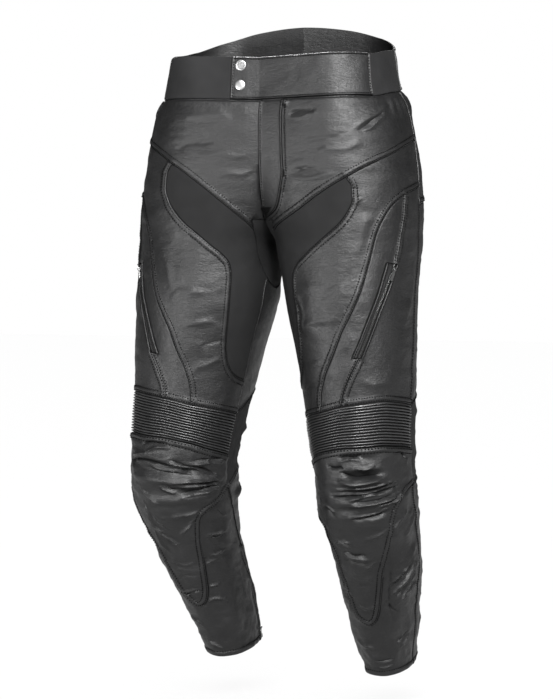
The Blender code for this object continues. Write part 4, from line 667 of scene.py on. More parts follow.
# Camera: the fitted view of the photograph
CAMERA_AZIMUTH = 18.0
CAMERA_ELEVATION = 3.0
CAMERA_DISTANCE = 3.4
CAMERA_TARGET = (-0.0095, 0.0, -0.412)
CAMERA_LENS = 72.07
CAMERA_SENSOR = 24.0

# The floor, and how bright the room is to the part
FLOOR_LEVEL = -0.985
FLOOR_REACH = 12.0
FLOOR_COLOUR = (0.90, 0.90, 0.90)
ROOM_LIGHT = 0.04

# Lamps: name, place, target, size, power
LAMPS = (
    ("front", (1.5, -2.8, 1.8), (0.0, 0.0, -0.20), 1.0, 520.0),
    ("right", (3.0, -1.6, 1.2), (0.0, 0.0, -0.30), 1.0, 130.0),
    ("left", (-1.7, -2.8, 0.9), (0.0, 0.0, -0.35), 1.0, 5.0),
    ("low", (-1.2, -2.3, -0.5), (0.0, 0.0, -0.95), 0.4, 90.0),
    ("back", (-1.2, 3.0, 1.7), (0.0, 0.0, -0.30), 1.0, 140.0),
)
# Suns: name, strength, spread, tilt forward, tilt aside
SUNS = (
    ("top", 1.0, 12.0, 30.0, 10.0),
    ("floor_wash", 3.5, 60.0, 0.0, 0.0),
)


def read_table(rows, keys):
    """Give a table's columns at the keys, along monotone cubics through its rows."""
    table = np.array(rows, float)
    table = table[np.argsort(table[:, 0])]
    knots = table[:, 0]
    values = table[:, 1:]
    step = np.diff(knots)[:, None]
    slope = np.diff(values, axis=0) / step
    same_way = slope[:-1] * slope[1:] > 0
    before = np.where(same_way, slope[:-1], 1.0)
    after = np.where(same_way, slope[1:], 1.0)
    weight_before = 2 * step[1:] + step[:-1]
    weight_after = step[1:] + 2 * step[:-1]
    mean = (weight_before + weight_after) / (weight_before / before + weight_after / after)
    tangent = np.zeros_like(values)
    tangent[0] = slope[0]
    tangent[-1] = slope[-1]
    tangent[1:-1] = np.where(same_way, mean, 0.0)
    keys = np.clip(np.asarray(keys, float), knots[0], knots[-1])
    row = np.clip(np.searchsorted(knots, keys, side="right") - 1, 0, len(step) - 1)
    width = step[row, 0][..., None]
    t = (keys[..., None] - knots[row][..., None]) / width
    ease = t * t * (3 - 2 * t)
    leave = t * (1 - t) ** 2 * width * tangent[row]
    arrive = t * t * (t - 1) * width * tangent[row + 1]
    return (1 - ease) * values[row] + ease * values[row + 1] + leave + arrive


def waist_rise(angle, level):
    """Give how far the waist's dip lifts a point, fading out down the hips."""
    fade = np.clip(1 - level / RISE_FADES_TO, 0.0, 1.0)
    fade = fade * fade * (3 - 2 * fade)
    return read_table(WAIST_RISE, angle)[..., 0] * fade


def skin_point(angle, level, side):
    """Give the smooth skin's point at an angle round a leg and a level down it."""
    angle, level = np.broadcast_arrays(np.asarray(angle, float), np.asarray(level, float))
    ring = read_table(SECTIONS, level)
    inner, middle_x, outer, front, middle_y, back, square, slope = np.moveaxis(ring, -1, 0)
    lean, widen, drop, turn = np.moveaxis(read_table(POSES[side], level), -1, 0)
    across = np.sin(np.radians(angle))
    along = -np.cos(np.radians(angle))
    half_x = np.where(across > 0, outer - middle_x, middle_x - inner)
    half_y = np.where(along < 0, middle_y - front, back - middle_y)
    bulk = (np.abs(across) / half_x) ** square + (np.abs(along) / half_y) ** square
    reach = bulk ** (-1 / square)
    aside = side * reach * across * widen
    ahead = reach * along
    turn = np.radians(turn)
    x = side * middle_x + lean + aside * np.cos(turn) + ahead * np.sin(turn)
    y = middle_y - aside * np.sin(turn) + ahead * np.cos(turn)
    z = level + waist_rise(angle, level) - drop + slope * (y - middle_y)
    return np.stack([x, y, z], -1)


def skin_frame(angle, level, side):
    """Give the skin's directions for one degree and for one metre of level, and its normal."""
    angle = np.asarray(angle, float)
    level = np.asarray(level, float)
    ahead = skin_point(angle + PROBE_DEGREE, level, side)
    behind = skin_point(angle - PROBE_DEGREE, level, side)
    round_leg = (ahead - behind) / (2 * PROBE_DEGREE)
    above = skin_point(angle, level + PROBE_METRE, side)
    below = skin_point(angle, level - PROBE_METRE, side)
    up_leg = (above - below) / (2 * PROBE_METRE)
    normal = side * np.cross(round_leg, up_leg)
    normal /= np.linalg.norm(normal, axis=-1, keepdims=True)
    return round_leg, up_leg, normal


def line_places(row, angle, level):
    """Give points' shares along a row's straight line, and their distances aside from it."""
    angle_a, level_a, angle_b, level_b = row[:4]
    start = np.array([angle_a * PATTERN_DEGREE, level_a])
    way = np.array([angle_b * PATTERN_DEGREE, level_b]) - start
    length = np.linalg.norm(way)
    turned = angle + 360 * np.round(((angle_a + angle_b) / 2 - angle) / 360)
    x = turned * PATTERN_DEGREE - start[0]
    y = level - start[1]
    return (x * way[0] + y * way[1]) / length ** 2, (y * way[0] - x * way[1]) / length


def fold_height(angle, level, side):
    """Give how far the folds and the gathers lift the skin."""
    gathers = [(middle, GATHER_TOP, middle, -GATHER_LENGTH, GATHER_HALF_WIDTH, GATHER_HEIGHT)
               for middle in GATHER_ANGLES]
    height = np.zeros(np.broadcast(angle, level).shape)
    for row in [*FOLDS[side], *BACK_FOLDS, *gathers]:
        share, aside = line_places(row, angle, level)
        half_width, lift = row[4:]
        swell = np.clip(1 - (2 * share - 1) ** 2, 0.0, 1.0) ** FOLD_FULLNESS
        height += lift * swell * np.clip(1 - (aside / half_width) ** 2, 0.0, 1.0) ** 2
    return height


def cloth_point(angle, level, side, lift):
    """Give a point of the cloth, folds and all, at a lift above the skin."""
    normal = skin_frame(angle, level, side)[2]
    rise = fold_height(angle, level, side) + lift
    return skin_point(angle, level, side) + normal * np.asarray(rise)[..., None]


def halve(near, far, is_near):
    """Give the number between two others at which a test that holds at the first one fails."""
    for _ in range(HALVINGS):
        middle = (near + far) / 2
        if is_near(middle):
            near = middle
        else:
            far = middle
    return (near + far) / 2


def middle_angle(level, back=False, aside=0.0):
    """Give the angle at which a ring is a given distance from the middle plane."""
    inside, outside = (180.0, 270.0) if back else (0.0, -90.0)
    return halve(inside, outside, lambda angle: skin_point(angle, level, LEFT)[0] > aside)


def crotch_level(angle, aside):
    """Give the level at which the skin at an angle is a given distance from the middle plane."""
    above, below = CROTCH_REACH
    return halve(above, below, lambda level: skin_point(angle, level, LEFT)[0] < aside)


def travelled(line, scale=(PATTERN_DEGREE, 1.0)):
    """Give how far along a pattern line each of its points lies."""
    steps = np.hypot(np.diff(line[:, 0]) * scale[0], np.diff(line[:, 1]) * scale[1])
    return np.concatenate([[0.0], np.cumsum(steps)])


def points_at(line, run, places):
    """Give the points of a line at some distances along it."""
    return np.column_stack([np.interp(places, run, column) for column in line.T])


def dense_line(rows):
    """Give a smooth line through a table's rows as many close pattern points."""
    rows = np.array(rows, float)[:, :2]
    run = travelled(rows)
    return read_table(np.column_stack([run, rows]), np.linspace(0.0, run[-1], LINE_POINTS))


def resample(line, step=SEAM_STEP):
    """Space a line's points evenly, about a step apart, keeping both ends."""
    run = travelled(line)
    count = max(1, round(run[-1] / step))
    return points_at(line, run, np.linspace(0.0, run[-1], count + 1))


def smooth_line(rows):
    """Give a smooth evenly spaced line through a table's rows."""
    return resample(dense_line(rows))


def split_line(line, points):
    """Cut a line at the places nearest some points and space each part's points."""
    places = [0]
    for point in points:
        apart = np.hypot((line[:, 0] - point[0]) * PATTERN_DEGREE, line[:, 1] - point[1])
        place = int(np.argmin(apart))
        line[place] = point
        places.append(place)
    places.append(len(line) - 1)
    return [resample(line[a:b + 1]) for a, b in zip(places, places[1:])]


def level_on(line, angle):
    """Give a line's level where it crosses an angle."""
    order = np.argsort(line[:, 0])
    return float(np.interp(angle, line[order, 0], line[order, 1]))


def angle_on(line, level):
    """Give a line's angle where it crosses a level."""
    order = np.argsort(line[:, 1])
    return float(np.interp(level, line[order, 1], line[order, 0]))


def straight(start, end):
    """Give a straight pattern line between two points."""
    return resample(np.array([start, end], float))


def swayed(rows, side):
    """Shift a seam's rows down on the left leg and up on the right."""
    return [(angle, level - side * sway) for angle, level, sway in rows]


def ended(rows, start, end):
    """Give a seam's rows with its ends moved onto the seams that it meets."""
    return [start, *rows[1:-1], end]


def middle_line(top, bottom, back):
    """Give the middle plane's pattern line between two levels."""
    count = max(2, round(abs(bottom - top) / SEAM_STEP) + 1)
    return np.array([(middle_angle(level, back), level)
                     for level in np.linspace(top, bottom, count)])


def crotch_line(first_angle, last_angle, aside, step=SEAM_STEP):
    """Give the line along the crotch at a distance from the middle plane."""
    angles = np.linspace(first_angle, last_angle, CROTCH_POINTS)
    return resample(np.array([(angle, crotch_level(angle, aside)) for angle in angles]), step)


def cut_at(seams, line, levels, names):
    """Cut a line at some levels into named seams, and give the cuts."""
    cuts = [(angle_on(line, level), level) for level in levels]
    seams.update(zip(names, split_line(line, cuts)))
    return cuts


def add_pocket_seams(seams, curve_line, pocket_foot):
    """Add one leg's seams round the pocket, its welt and its zip."""
    pocket_head = (POCKET_START, level_on(curve_line, POCKET_START))
    seams["curve_hip"], seams["curve_thigh"] = split_line(curve_line, [pocket_head])
    seams["pocket_upper"] = smooth_line([pocket_head, *POCKET_UPPER[1:]])
    seams["pocket_lower"] = smooth_line([*POCKET_LOWER[:-1], pocket_foot])
    seams["welt_side"] = smooth_line(WELT_LINE)
    zip_line = smooth_line(POCKET_ZIP)
    shift = np.array([POCKET_ZIP_SPREAD, 0.0])
    seams["zip_front"] = zip_line - shift
    seams["zip_back"] = zip_line + shift
    for name, place in (("top", 0), ("bottom", -1)):
        middle = zip_line[place]
        seams[f"zip_{name}_front"] = np.array([middle, middle - shift])
        seams[f"zip_{name}_back"] = np.array([middle, middle + shift])
        seams[f"welt_{name}"] = np.array([middle - shift, WELT_LINE[place]])


def leg_seams(side):
    """Give every seam of one leg as named pattern lines that its neighbours share."""
    seams = {}
    turn = np.array([360.0, 0.0])

    # The middle plane, the fly and the crotch gusset
    fly_foot = (middle_angle(GUSSET_TOP), GUSSET_TOP)
    back_foot = (middle_angle(GUSSET_BACK, back=True) - 360, GUSSET_BACK)
    corner_front = (middle_angle(GUSSET_TOP, aside=GUSSET_HALF), GUSSET_TOP)
    corner_back = (middle_angle(GUSSET_BACK, back=True, aside=GUSSET_HALF) - 360, GUSSET_BACK)
    v_rows = swayed(V_SEAM, side)
    v_end = (v_rows[-1][0], crotch_level(v_rows[-1][0], GUSSET_HALF))
    inseam_top = (INSEAM_TOP_ANGLE, crotch_level(INSEAM_TOP_ANGLE, GUSSET_HALF))
    seams["centre_front"] = middle_line(0.0, GUSSET_TOP, back=False)
    seams["fly"] = smooth_line([*FLY_SEAM, fly_foot])
    seams["gusset_top"] = np.linspace(fly_foot, corner_front, 3)
    seams["gusset_yoke"] = np.array([corner_front, v_end])
    seams["gusset_groin"] = crotch_line(v_end[0], inseam_top[0], GUSSET_HALF)
    seams["gusset_back"] = crotch_line(inseam_top[0], corner_back[0], GUSSET_HALF)
    seams["gusset_back"][-1] = corner_back
    seams["gusset_end"] = np.linspace(corner_back, back_foot, 3)

    # The outseam and the inseam, cut where other seams meet them
    outseam = dense_line(OUTSEAM)
    v_start, curve_start, back_yoke_start, knee_out, knee_low_out, shin_out = cut_at(
        seams, outseam,
        (v_rows[0][1], OUTER_CURVE[0][1], BACK_YOKE_SEAM[0][1], KNEE_TOP[0][1],
         KNEE_BOTTOM[0][1], SHIN_SEAM[0][1]),
        ("out_yoke", "out_hip", "out_side_top", "out_side", "out_knee", "out_shin",
         "out_lower"))
    leaf_end, knee_in, knee_low_in, shin_in, zip_top = cut_at(
        seams, dense_line([inseam_top, *INSEAM]),
        (LEAF_SEAM[-1][1], KNEE_TOP[-1][1], KNEE_BOTTOM[-1][1], SHIN_SEAM[-1][1],
         ANKLE_ZIP_TOP),
        ("in_groin", "in_thigh", "in_knee", "in_shin", "in_lower", "in_zip"))

    # The inseam parts round the ankle zip
    zip_line = seams.pop("in_zip")
    spreads = ((HEM, ANKLE_ZIP_HEM_SPREAD), (ANKLE_ZIP_TOP, ANKLE_ZIP_TOP_SPREAD))
    spread = read_table(spreads, zip_line[:, 1])[:, 0]
    for name, way in (("front", 1), ("back", -1)):
        seams[f"ankle_{name}"] = np.column_stack([zip_line[:, 0] + way * spread, zip_line[:, 1]])
        seams[f"ankle_top_{name}"] = np.array([zip_top, seams[f"ankle_{name}"][0]])

    # The V seam and the leaf-shaped groin panel
    v_line = dense_line(ended(v_rows, v_start, v_end))
    leaf_top = (LEAF_START, level_on(v_line, LEAF_START))
    seams["v_hip"], seams["v_groin"] = split_line(v_line, [leaf_top])
    seams["leaf"] = smooth_line([leaf_top, *swayed(LEAF_SEAM, side)[:-1], leaf_end])

    # The knee's top seam, cut where the thigh's curves reach it
    knee_top = dense_line(KNEE_TOP)
    curve_foot, pocket_foot = [(rows[-1][0], level_on(knee_top, rows[-1][0]))
                               for rows in (OUTER_CURVE, POCKET_LOWER)]
    knee_line = dense_line(ended(KNEE_TOP, knee_out, knee_in))
    names = ("knee_top_side", "knee_top_pocket", "knee_top_thigh")
    seams.update(zip(names, split_line(knee_line, [pocket_foot, curve_foot])))
    curve_line = dense_line(ended(OUTER_CURVE, curve_start, curve_foot))
    add_pocket_seams(seams, curve_line, pocket_foot)

    # The other seams that run from the outseam to the inseam or to the middle of the back
    yoke_level = BACK_YOKE_SEAM[-1][1]
    yoke_end = (middle_angle(yoke_level, back=True), yoke_level)
    for name, rows, start, end in (
            ("knee_bottom", KNEE_BOTTOM, knee_low_out, knee_low_in),
            ("shin", SHIN_SEAM, shin_out, shin_in),
            ("back_yoke", BACK_YOKE_SEAM, back_yoke_start, yoke_end),
            ("back_knee_top", BACK_KNEE_TOP, knee_out, np.array(knee_in) + turn),
            ("back_knee_bottom", BACK_KNEE_BOTTOM, shin_out, np.array(shin_in) + turn)):
        seams[name] = smooth_line(ended(rows, start, end))
    seams["centre_back_yoke"] = middle_line(0.0, yoke_level, back=True)
    seams["centre_back"] = middle_line(yoke_level, GUSSET_BACK, back=True)

    # The hems and the waist seam
    hem_out = (outseam[-1][0], HEM)
    seams["hem_front"] = straight(hem_out, seams["ankle_front"][-1])
    seams["hem_back"] = straight(hem_out, seams["ankle_back"][-1] + turn)
    seams["hem_zip"] = np.array([seams["ankle_front"][-1], seams["ankle_back"][-1]])
    cuts = (("front", middle_angle(0.0)), ("fly", FLY_SEAM[0][0]), ("tab", BAND_TAB_END),
            ("leather", BAND_LEATHER_END), ("outseam", outseam[0][0]),
            ("stretch", BAND_BACK_START), ("back", middle_angle(0.0, back=True)))
    for (name, first), (_, last) in zip(cuts, cuts[1:]):
        seams[f"waist_{name}"] = straight((first, 0.0), (last, 0.0))
    return seams


def join_loop(seams, names):
    """Join named seams end to end into one closed loop. A minus sign turns a seam round."""
    loop = []
    for name in names:
        line = seams[name.lstrip("-").replace("+360", "")]
        if name.startswith("-"):
            line = line[::-1]
        loop.extend((line + seam_turn(name))[:-1])
    return np.array(loop)


def seam_turn(name):
    """Give how far a seam in a loop is carried round the leg."""
    return np.array([360.0 if name.endswith("+360") else 0.0, 0.0])


def signed_area(points):
    """Give a flat loop's area, positive where it runs counter-clockwise."""
    after = np.roll(points, -1, axis=0)
    return 0.5 * float(np.sum(points[:, 0] * after[:, 1] - after[:, 0] * points[:, 1]))


def closed(loop):
    """Repeat a loop's first point at its end."""
    return np.vstack([loop, loop[:1]])


def local_scale(points, side):
    """Give the metres for one degree and for one metre of level at each pattern point."""
    round_leg, up_leg, _ = skin_frame(points[:, 0], points[:, 1], side)
    return np.column_stack([np.linalg.norm(round_leg, axis=1), np.linalg.norm(up_leg, axis=1)])


def pattern_scale(points, side):
    """Give a piece's mean metres for one degree and for one metre of level."""
    return np.array([column.mean() for column in local_scale(points, side).T])


def inset_loop(loop, side, gap):
    """Move a counter-clockwise loop inwards over the skin by half a seam gap."""
    scale = local_scale(loop, side)
    before = (loop - np.roll(loop, 1, axis=0)) * scale
    after = (np.roll(loop, -1, axis=0) - loop) * scale
    before /= np.linalg.norm(before, axis=1, keepdims=True)
    after /= np.linalg.norm(after, axis=1, keepdims=True)
    inward_after = np.column_stack([-after[:, 1], after[:, 0]])
    inward = np.column_stack([-before[:, 1], before[:, 0]]) + inward_after
    inward /= np.maximum(np.linalg.norm(inward, axis=1, keepdims=True), 1e-6)
    straightness = np.sum(inward * inward_after, axis=1, keepdims=True)
    move = inward * (gap / 2) / np.maximum(straightness, SHARPEST_TURN)
    return loop + move / scale


def inside_loop(points, loop):
    """Tell which flat points lie inside a flat loop."""
    inside = np.zeros(len(points), bool)
    for start, end in zip(loop, np.roll(loop, -1, axis=0)):
        crosses = (start[1] > points[:, 1]) != (end[1] > points[:, 1])
        rise = end[1] - start[1] if end[1] != start[1] else 1.0
        reach = start[0] + (points[:, 1] - start[1]) * (end[0] - start[0]) / rise
        inside ^= crosses & (points[:, 0] < reach)
    return inside


def place_matrix(origin, down, out):
    """Give the frame whose X runs across, Y up against down, and Z out of the cloth."""
    out = Vector(out).normalized()
    down = Vector(down)
    down = (down - out * down.dot(out)).normalized()
    across = out.cross(down)
    rotation = Matrix((across, -down, out)).transposed().to_4x4()
    return Matrix.Translation(Vector(origin)) @ rotation


def lattice_noise(x, y, seed):
    """Give a smooth noise of two numbers, from -1 to 1."""
    column = np.floor(x)
    row = np.floor(y)
    u = x - column
    v = y - row
    u = u * u * u * (u * (u * 6 - 15) + 10)
    v = v * v * v * (v * (v * 6 - 15) + 10)

    def corner(a, b):
        by_column, by_row, by_seed = NOISE_TURNS
        wave = np.sin(a * by_column + b * by_row + seed * by_seed) * NOISE_SPREAD
        return 2 * (wave - np.floor(wave)) - 1

    low = corner(column, row) * (1 - u) + corner(column + 1, row) * u
    high = corner(column, row + 1) * (1 - u) + corner(column + 1, row + 1) * u
    return low * (1 - v) + high * v


def crease_sway(share, half_width, lift, bow):
    """Give how far a crease's middle line leaves the straight line, at shares of its length."""
    wave = np.sin(share * SWAY_TURNS + lift * SWAY_START)
    return bow * (1 - (2 * share - 1) ** 2) + SWAY_SHARE * half_width * wave


def crease_places(row, angle, level):
    """Give points' shares along one crease and their distances from its middle line."""
    share, aside = line_places(row, angle, level)
    return share, aside - crease_sway(share, *row[4:])


def crease_height(angle, level, side):
    """Give the height of the listed creases: sharp hollows and round ridges."""
    height = np.zeros(angle.shape)
    for row in CREASES[side]:
        half_width, lift = row[4:6]
        share, aside = crease_places(row, angle, level)
        if lift < 0:
            profile = np.exp(-np.abs(aside) / (HOLLOW_REACH * half_width))
        else:
            profile = np.exp(-(aside / half_width) ** 2 * RIDGE_FALL)
        height += lift * np.clip(1 - (2 * share - 1) ** 4, 0.0, 1.0) * profile
    return height


def crease_depth(angle, level, side):
    """Give how far the inner sheet gives way under the hollow creases."""
    depth = np.zeros(angle.shape)
    for row in CREASES[side]:
        half_width, lift = row[4:6]
        if lift < 0:
            share, aside = crease_places(row, angle, level)
            swell = np.clip(INNER_REACH - np.abs(2 * share - 1), 0.0, 1.0)
            depth += lift * swell * np.exp(-(aside / (half_width + INNER_STEP)) ** 2)
    return depth


def crease_points(side, loop, scale):
    """Give rows of pattern points along the creases that cross a piece."""
    flat = loop * scale
    rows = [np.zeros((0, 2))]
    middle_turn = (loop[:, 0].min() + loop[:, 0].max()) / 2
    for angle_a, level_a, angle_b, level_b, half_width, lift, bow in CREASES[side]:
        turn = 360 * round((middle_turn - (angle_a + angle_b) / 2) / 360)
        start = np.array([(angle_a + turn) * PATTERN_DEGREE, level_a])
        way = np.array([(angle_b + turn) * PATTERN_DEGREE, level_b]) - start
        length = np.linalg.norm(way)
        share = np.linspace(0.0, 1.0, max(CREASE_LEAST, int(length / CREASE_STEP)))
        sway = crease_sway(share, half_width, lift, bow)
        across = np.array([-way[1], way[0]]) / length
        for offset in CREASE_OFFSETS:
            points = start + share[:, None] * way + (sway + offset * half_width)[:, None] * across
            rows.append(points / np.array([PATTERN_DEGREE, 1.0]))
    points = np.vstack(rows)
    points = points[inside_loop(points * scale, flat)]
    if len(points):
        points = points[line_distance(points * scale, closed(flat)) > CREASE_CLEAR]
    return points


def off_creases(points, side):
    """Leave out the points that lie in a crease's own rows."""
    keep = np.ones(len(points), bool)
    for row in CREASES[side]:
        share, aside = crease_places(row, points[:, 0], points[:, 1])
        reach = CREASE_OFFSETS[-1] * row[4] + ROWS_CLEAR
        keep &= (share < 0) | (share > 1) | (np.abs(aside) > reach)
    return points[keep]


def crumple_height(angle, level, side, amount):
    """Give the leather's small uneven crumples: broad swells, sharp ridges and fine ones."""
    def layer(x, y, cells):
        width, height, seed = cells
        return lattice_noise(x / width, y / height, seed + side)

    x = angle * PATTERN_DEGREE
    warp = WARP_REACH * layer(x, level, WARP_CELLS)
    broad = layer(x + warp, level + warp, BROAD_CELLS)
    sharp = 1 - 2 * np.abs(layer(x - warp, level + RIDGE_WARP * warp, RIDGE_CELLS))
    fine = layer(x, level + warp, FINE_CELLS)
    size = read_table(CRUMPLE, level)[..., 0] * amount
    return size * (BROAD_SHARE * broad + SHARP_SHARE * sharp + FINE_SHARE * fine)


def line_distance(points, line):
    """Give each flat point's distance from a flat open line, some of its steps at a time."""
    nearest = np.full(len(points), 1e9)
    for first in range(0, len(line) - 1, STEPS_AT_ONCE):
        ends = line[first:first + STEPS_AT_ONCE + 1]
        way = ends[1:] - ends[:-1]
        length = np.maximum(np.sum(way * way, axis=1), 1e-18)
        offset = points[:, None] - ends[None, :-1]
        place = np.clip(np.sum(offset * way[None], axis=2) / length[None], 0.0, 1.0)
        gap = offset - place[..., None] * way[None]
        nearest = np.minimum(nearest, np.sqrt(np.sum(gap * gap, axis=2)).min(axis=1))
    return nearest


def groove_relief(distance):
    """Give the groove along a piece's edge."""
    return -GROOVE_DEPTH * np.exp(-(distance / GROOVE_WIDTH) ** 2)


def row_relief(distance, rows):
    """Give the raised allowance beside a seam and the channels that its stitches lie in."""
    middle = rows[-1] / 2 + RIDGE_SHIFT
    reach = max(rows[-1] / 2, RIDGE_LEAST)
    height = RIDGE_HEIGHT * np.exp(-(np.abs(distance - middle) / reach) ** 4)
    for row in rows:
        height = height - CHANNEL_DEPTH * np.exp(-((distance - row) / CHANNEL_WIDTH) ** 2)
    return height


def upright_offset(skin, offset):
    """Let no offset cross or leave the middle plane, so that both halves meet there."""
    offset = offset.copy()
    offset[..., 0] *= np.clip(np.abs(skin[..., 0]) / MIDDLE_REACH, 0.0, 1.0)
    return offset


class Surface:
    """The finished outer surface of one piece, with everything that shapes it."""

    def __init__(self, side, loop, stitched, lift, crumple, ribs, tucked):
        self.side = side
        self.lift = lift
        self.crumple = crumple
        self.ribs = ribs
        self.scale = pattern_scale(loop, side)
        self.loop = loop * self.scale
        self.stitched = [(line * self.scale, rows) for line, rows in stitched]
        self.tucked = [line * self.scale for line in tucked]

    def edge_distance(self, points):
        """Give the points' distance from the piece's edge."""
        return line_distance(points * self.scale, closed(self.loop))

    def height(self, points):
        """Give the relief at some pattern points."""
        angle, level = points[:, 0], points[:, 1]
        edge = self.edge_distance(points)
        calm = np.clip(edge / CALM_WIDTH, 0.0, 1.0)
        creased = min(self.crumple, 1)
        height = fold_height(angle, level, self.side)
        left = EDGE_CREASED + (1 - EDGE_CREASED) * calm
        height += crease_height(angle, level, self.side) * left * creased
        left = EDGE_CRUMPLED + (1 - EDGE_CRUMPLED) * calm
        height += crumple_height(angle, level, self.side, self.crumple) * left
        height += PUFF_HEIGHT * creased * (1 - np.exp(-edge / PUFF_REACH))
        height += groove_relief(edge)
        for line, rows in self.stitched:
            height += row_relief(line_distance(points * self.scale, line), rows)
        for line in self.tucked:
            gap = line_distance(points * self.scale, line)
            height += TUCK_RIDGE * np.exp(-((gap - TUCK_REACH) / TUCK_WIDTH) ** 2)
            height -= TUCK_DEPTH * np.exp(-(gap / TUCK_WIDTH) ** 2)
        if self.ribs:
            height += self.ribs.height(points) * np.clip((edge - RIB_START) / RIB_EDGE, 0.0, 1.0)
        return height + self.lift

    def in_space(self, points, lift):
        """Give points in space at some lifts above the skin."""
        skin = skin_point(points[:, 0], points[:, 1], self.side)
        normal = skin_frame(points[:, 0], points[:, 1], self.side)[2]
        return skin + upright_offset(skin, normal * lift[:, None])

    def outer(self, points, raised=0.0):
        """Give the outer surface's points in space."""
        return self.in_space(points, self.height(points) + raised)

    def inner(self, points, wall):
        """Give the inner surface's points in space."""
        angle, level = points[:, 0], points[:, 1]
        lift = fold_height(angle, level, self.side) + self.lift - wall
        lift += crease_depth(angle, level, self.side) * min(self.crumple, 1)
        return self.in_space(points, lift)


def staggered_grid(loop, scale, step, clear):
    """Give an even staggered grid of pattern points inside a loop."""
    flat = loop * scale
    low = flat.min(axis=0)
    high = flat.max(axis=0)
    rows = int((high[1] - low[1]) / (step * ROW_SHARE)) + 1
    columns = int((high[0] - low[0]) / step) + 2
    row, column = np.mgrid[0:rows, 0:columns]
    x = low[0] + (column + 0.5 * (row % 2)) * step
    y = high[1] - (row + 0.5) * step * ROW_SHARE
    points = np.column_stack([x.ravel(), y.ravel()])
    points = points[inside_loop(points, flat)]
    if len(points):
        points = points[line_distance(points, closed(flat)) > clear]
    return points / scale


def edge_rings(loop, side, scale):
    """Give rings of points along the loop's inside, closer together at the seam."""
    flat = loop * scale
    rings = []
    for offset in RING_OFFSETS:
        ring = inset_loop(loop, side, 2 * offset)
        if offset > SPARSE_FROM:
            ring = ring[::2]
        points = ring * scale
        keep = inside_loop(points, flat)
        keep &= line_distance(points, closed(flat)) > RING_HOLD * offset
        rings.append(ring[keep])
    return np.vstack(rings)


def drop_close(points, scale, apart):
    """Leave out points that lie almost on an earlier one."""
    cells = np.round(points * scale / apart).astype(int)
    _, first = np.unique(cells, axis=0, return_index=True)
    return points[np.sort(first)]


def fill_loop(flat, edge_count):
    """Fill a flat loop, the first points, with triangles through the other points."""
    corners = [Vector(point) for point in flat]
    result = delaunay_2d_cdt(corners, [], [list(range(edge_count))], 1, 1e-9)
    origins = [sources[0] if sources else -1 for sources in result[3]]
    faces = []
    for face in result[2]:
        corners = tuple(origins[corner] for corner in face)
        if -1 not in corners:
            faces.append(corners)
    return faces


def add_piece(name, points, faces, material, node=None, smooth=SMOOTH_ANGLE):
    """Make a mesh that rides on the trousers and, with a node named, stands for its solid."""
    mesh = bpy.data.meshes.new(name)
    mesh.from_pydata([tuple(point) for point in points], [], [tuple(face) for face in faces])
    mesh.validate()
    thing = bpy.data.objects.new(name, mesh)
    bpy.context.scene.collection.objects.link(thing)
    mesh.materials.append(material)
    mesh.shade_smooth()
    mesh.set_sharp_from_angle(angle=math.radians(smooth))
    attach(thing, "trousers")
    if node:
        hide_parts(node)
    return thing


def paint_rim(thing, first):
    """Give a shell's edge faces, from the first on, the cut edge's material."""
    thing.data.materials.append(bpy.data.materials["cut_edge_fine"])
    for polygon in thing.data.polygons[first:]:
        polygon.material_index = 1


def dress_piece(node, cloth, side, seams, names, material, stitched, lift=None, wall=None,
                crumple=1.0, ribs=None, held="stretched", tucked=()):
    """Make a piece's fine shell, and give its surface and the lines to stitch."""
    slot, cloth_wall, cloth_lift = CLOTHS[cloth]
    wall = cloth_wall if wall is None else wall
    loop = join_loop(seams, names)
    if signed_area(loop * np.array([PATTERN_DEGREE, 1.0])) < 0:
        loop = loop[::-1]
    turns = {name.replace("+360", "").lstrip("-"): seam_turn(name) for name in names}
    lines = [(seams[name] + turns.get(name, 0.0), rows) for name, rows in stitched.items()]
    surface = Surface(side, loop, lines, cloth_lift if lift is None else lift, crumple, ribs,
                      [seams[name] for name in tucked])
    scale = surface.scale
    if ribs:
        filling = ribs.rows()
    else:
        grid = staggered_grid(loop, scale, GRID_STEP, GRID_CLEAR)
        if crumple > LEAST_CREASED:
            grid = np.vstack([crease_points(side, loop, scale), off_creases(grid, side)])
        filling = drop_close(np.vstack([edge_rings(loop, side, scale), grid]), scale, CLOSEST)
    edge = inset_loop(loop, side, OUTER_GAP)
    outside = np.vstack([edge, filling])
    outer_faces = fill_loop(ribs.spread(outside) if ribs else outside * scale, len(edge))
    inside = np.vstack([inset_loop(loop, side, INNER_GAP),
                        staggered_grid(loop, scale, INNER_STEP, INNER_CLEAR)])
    inner_faces = fill_loop(inside * scale, len(edge))
    points = np.vstack([surface.outer(outside), surface.inner(inside, wall)])
    start = len(outside)
    faces = list(outer_faces)
    faces += [tuple(start + corner for corner in reversed(face)) for face in inner_faces]
    rim_start = len(faces)
    for corner in range(len(edge)):
        after = (corner + 1) % len(edge)
        faces.append((after, corner, corner + start, after + start))
    if side == RIGHT:
        faces = [tuple(reversed(face)) for face in faces]
    thing = add_piece(f"{node}_shell", points, faces, material, node)
    paint_rim(thing, rim_start)
    return surface, lines


def offset_line(line, side, distance, way):
    """Move an open seam line aside over the skin."""
    scale = local_scale(line, side)
    run = np.gradient(line, axis=0) * scale
    run /= np.maximum(np.linalg.norm(run, axis=1, keepdims=True), 1e-9)
    aside = np.column_stack([-run[:, 1], run[:, 0]]) * way
    return line + aside * distance / scale


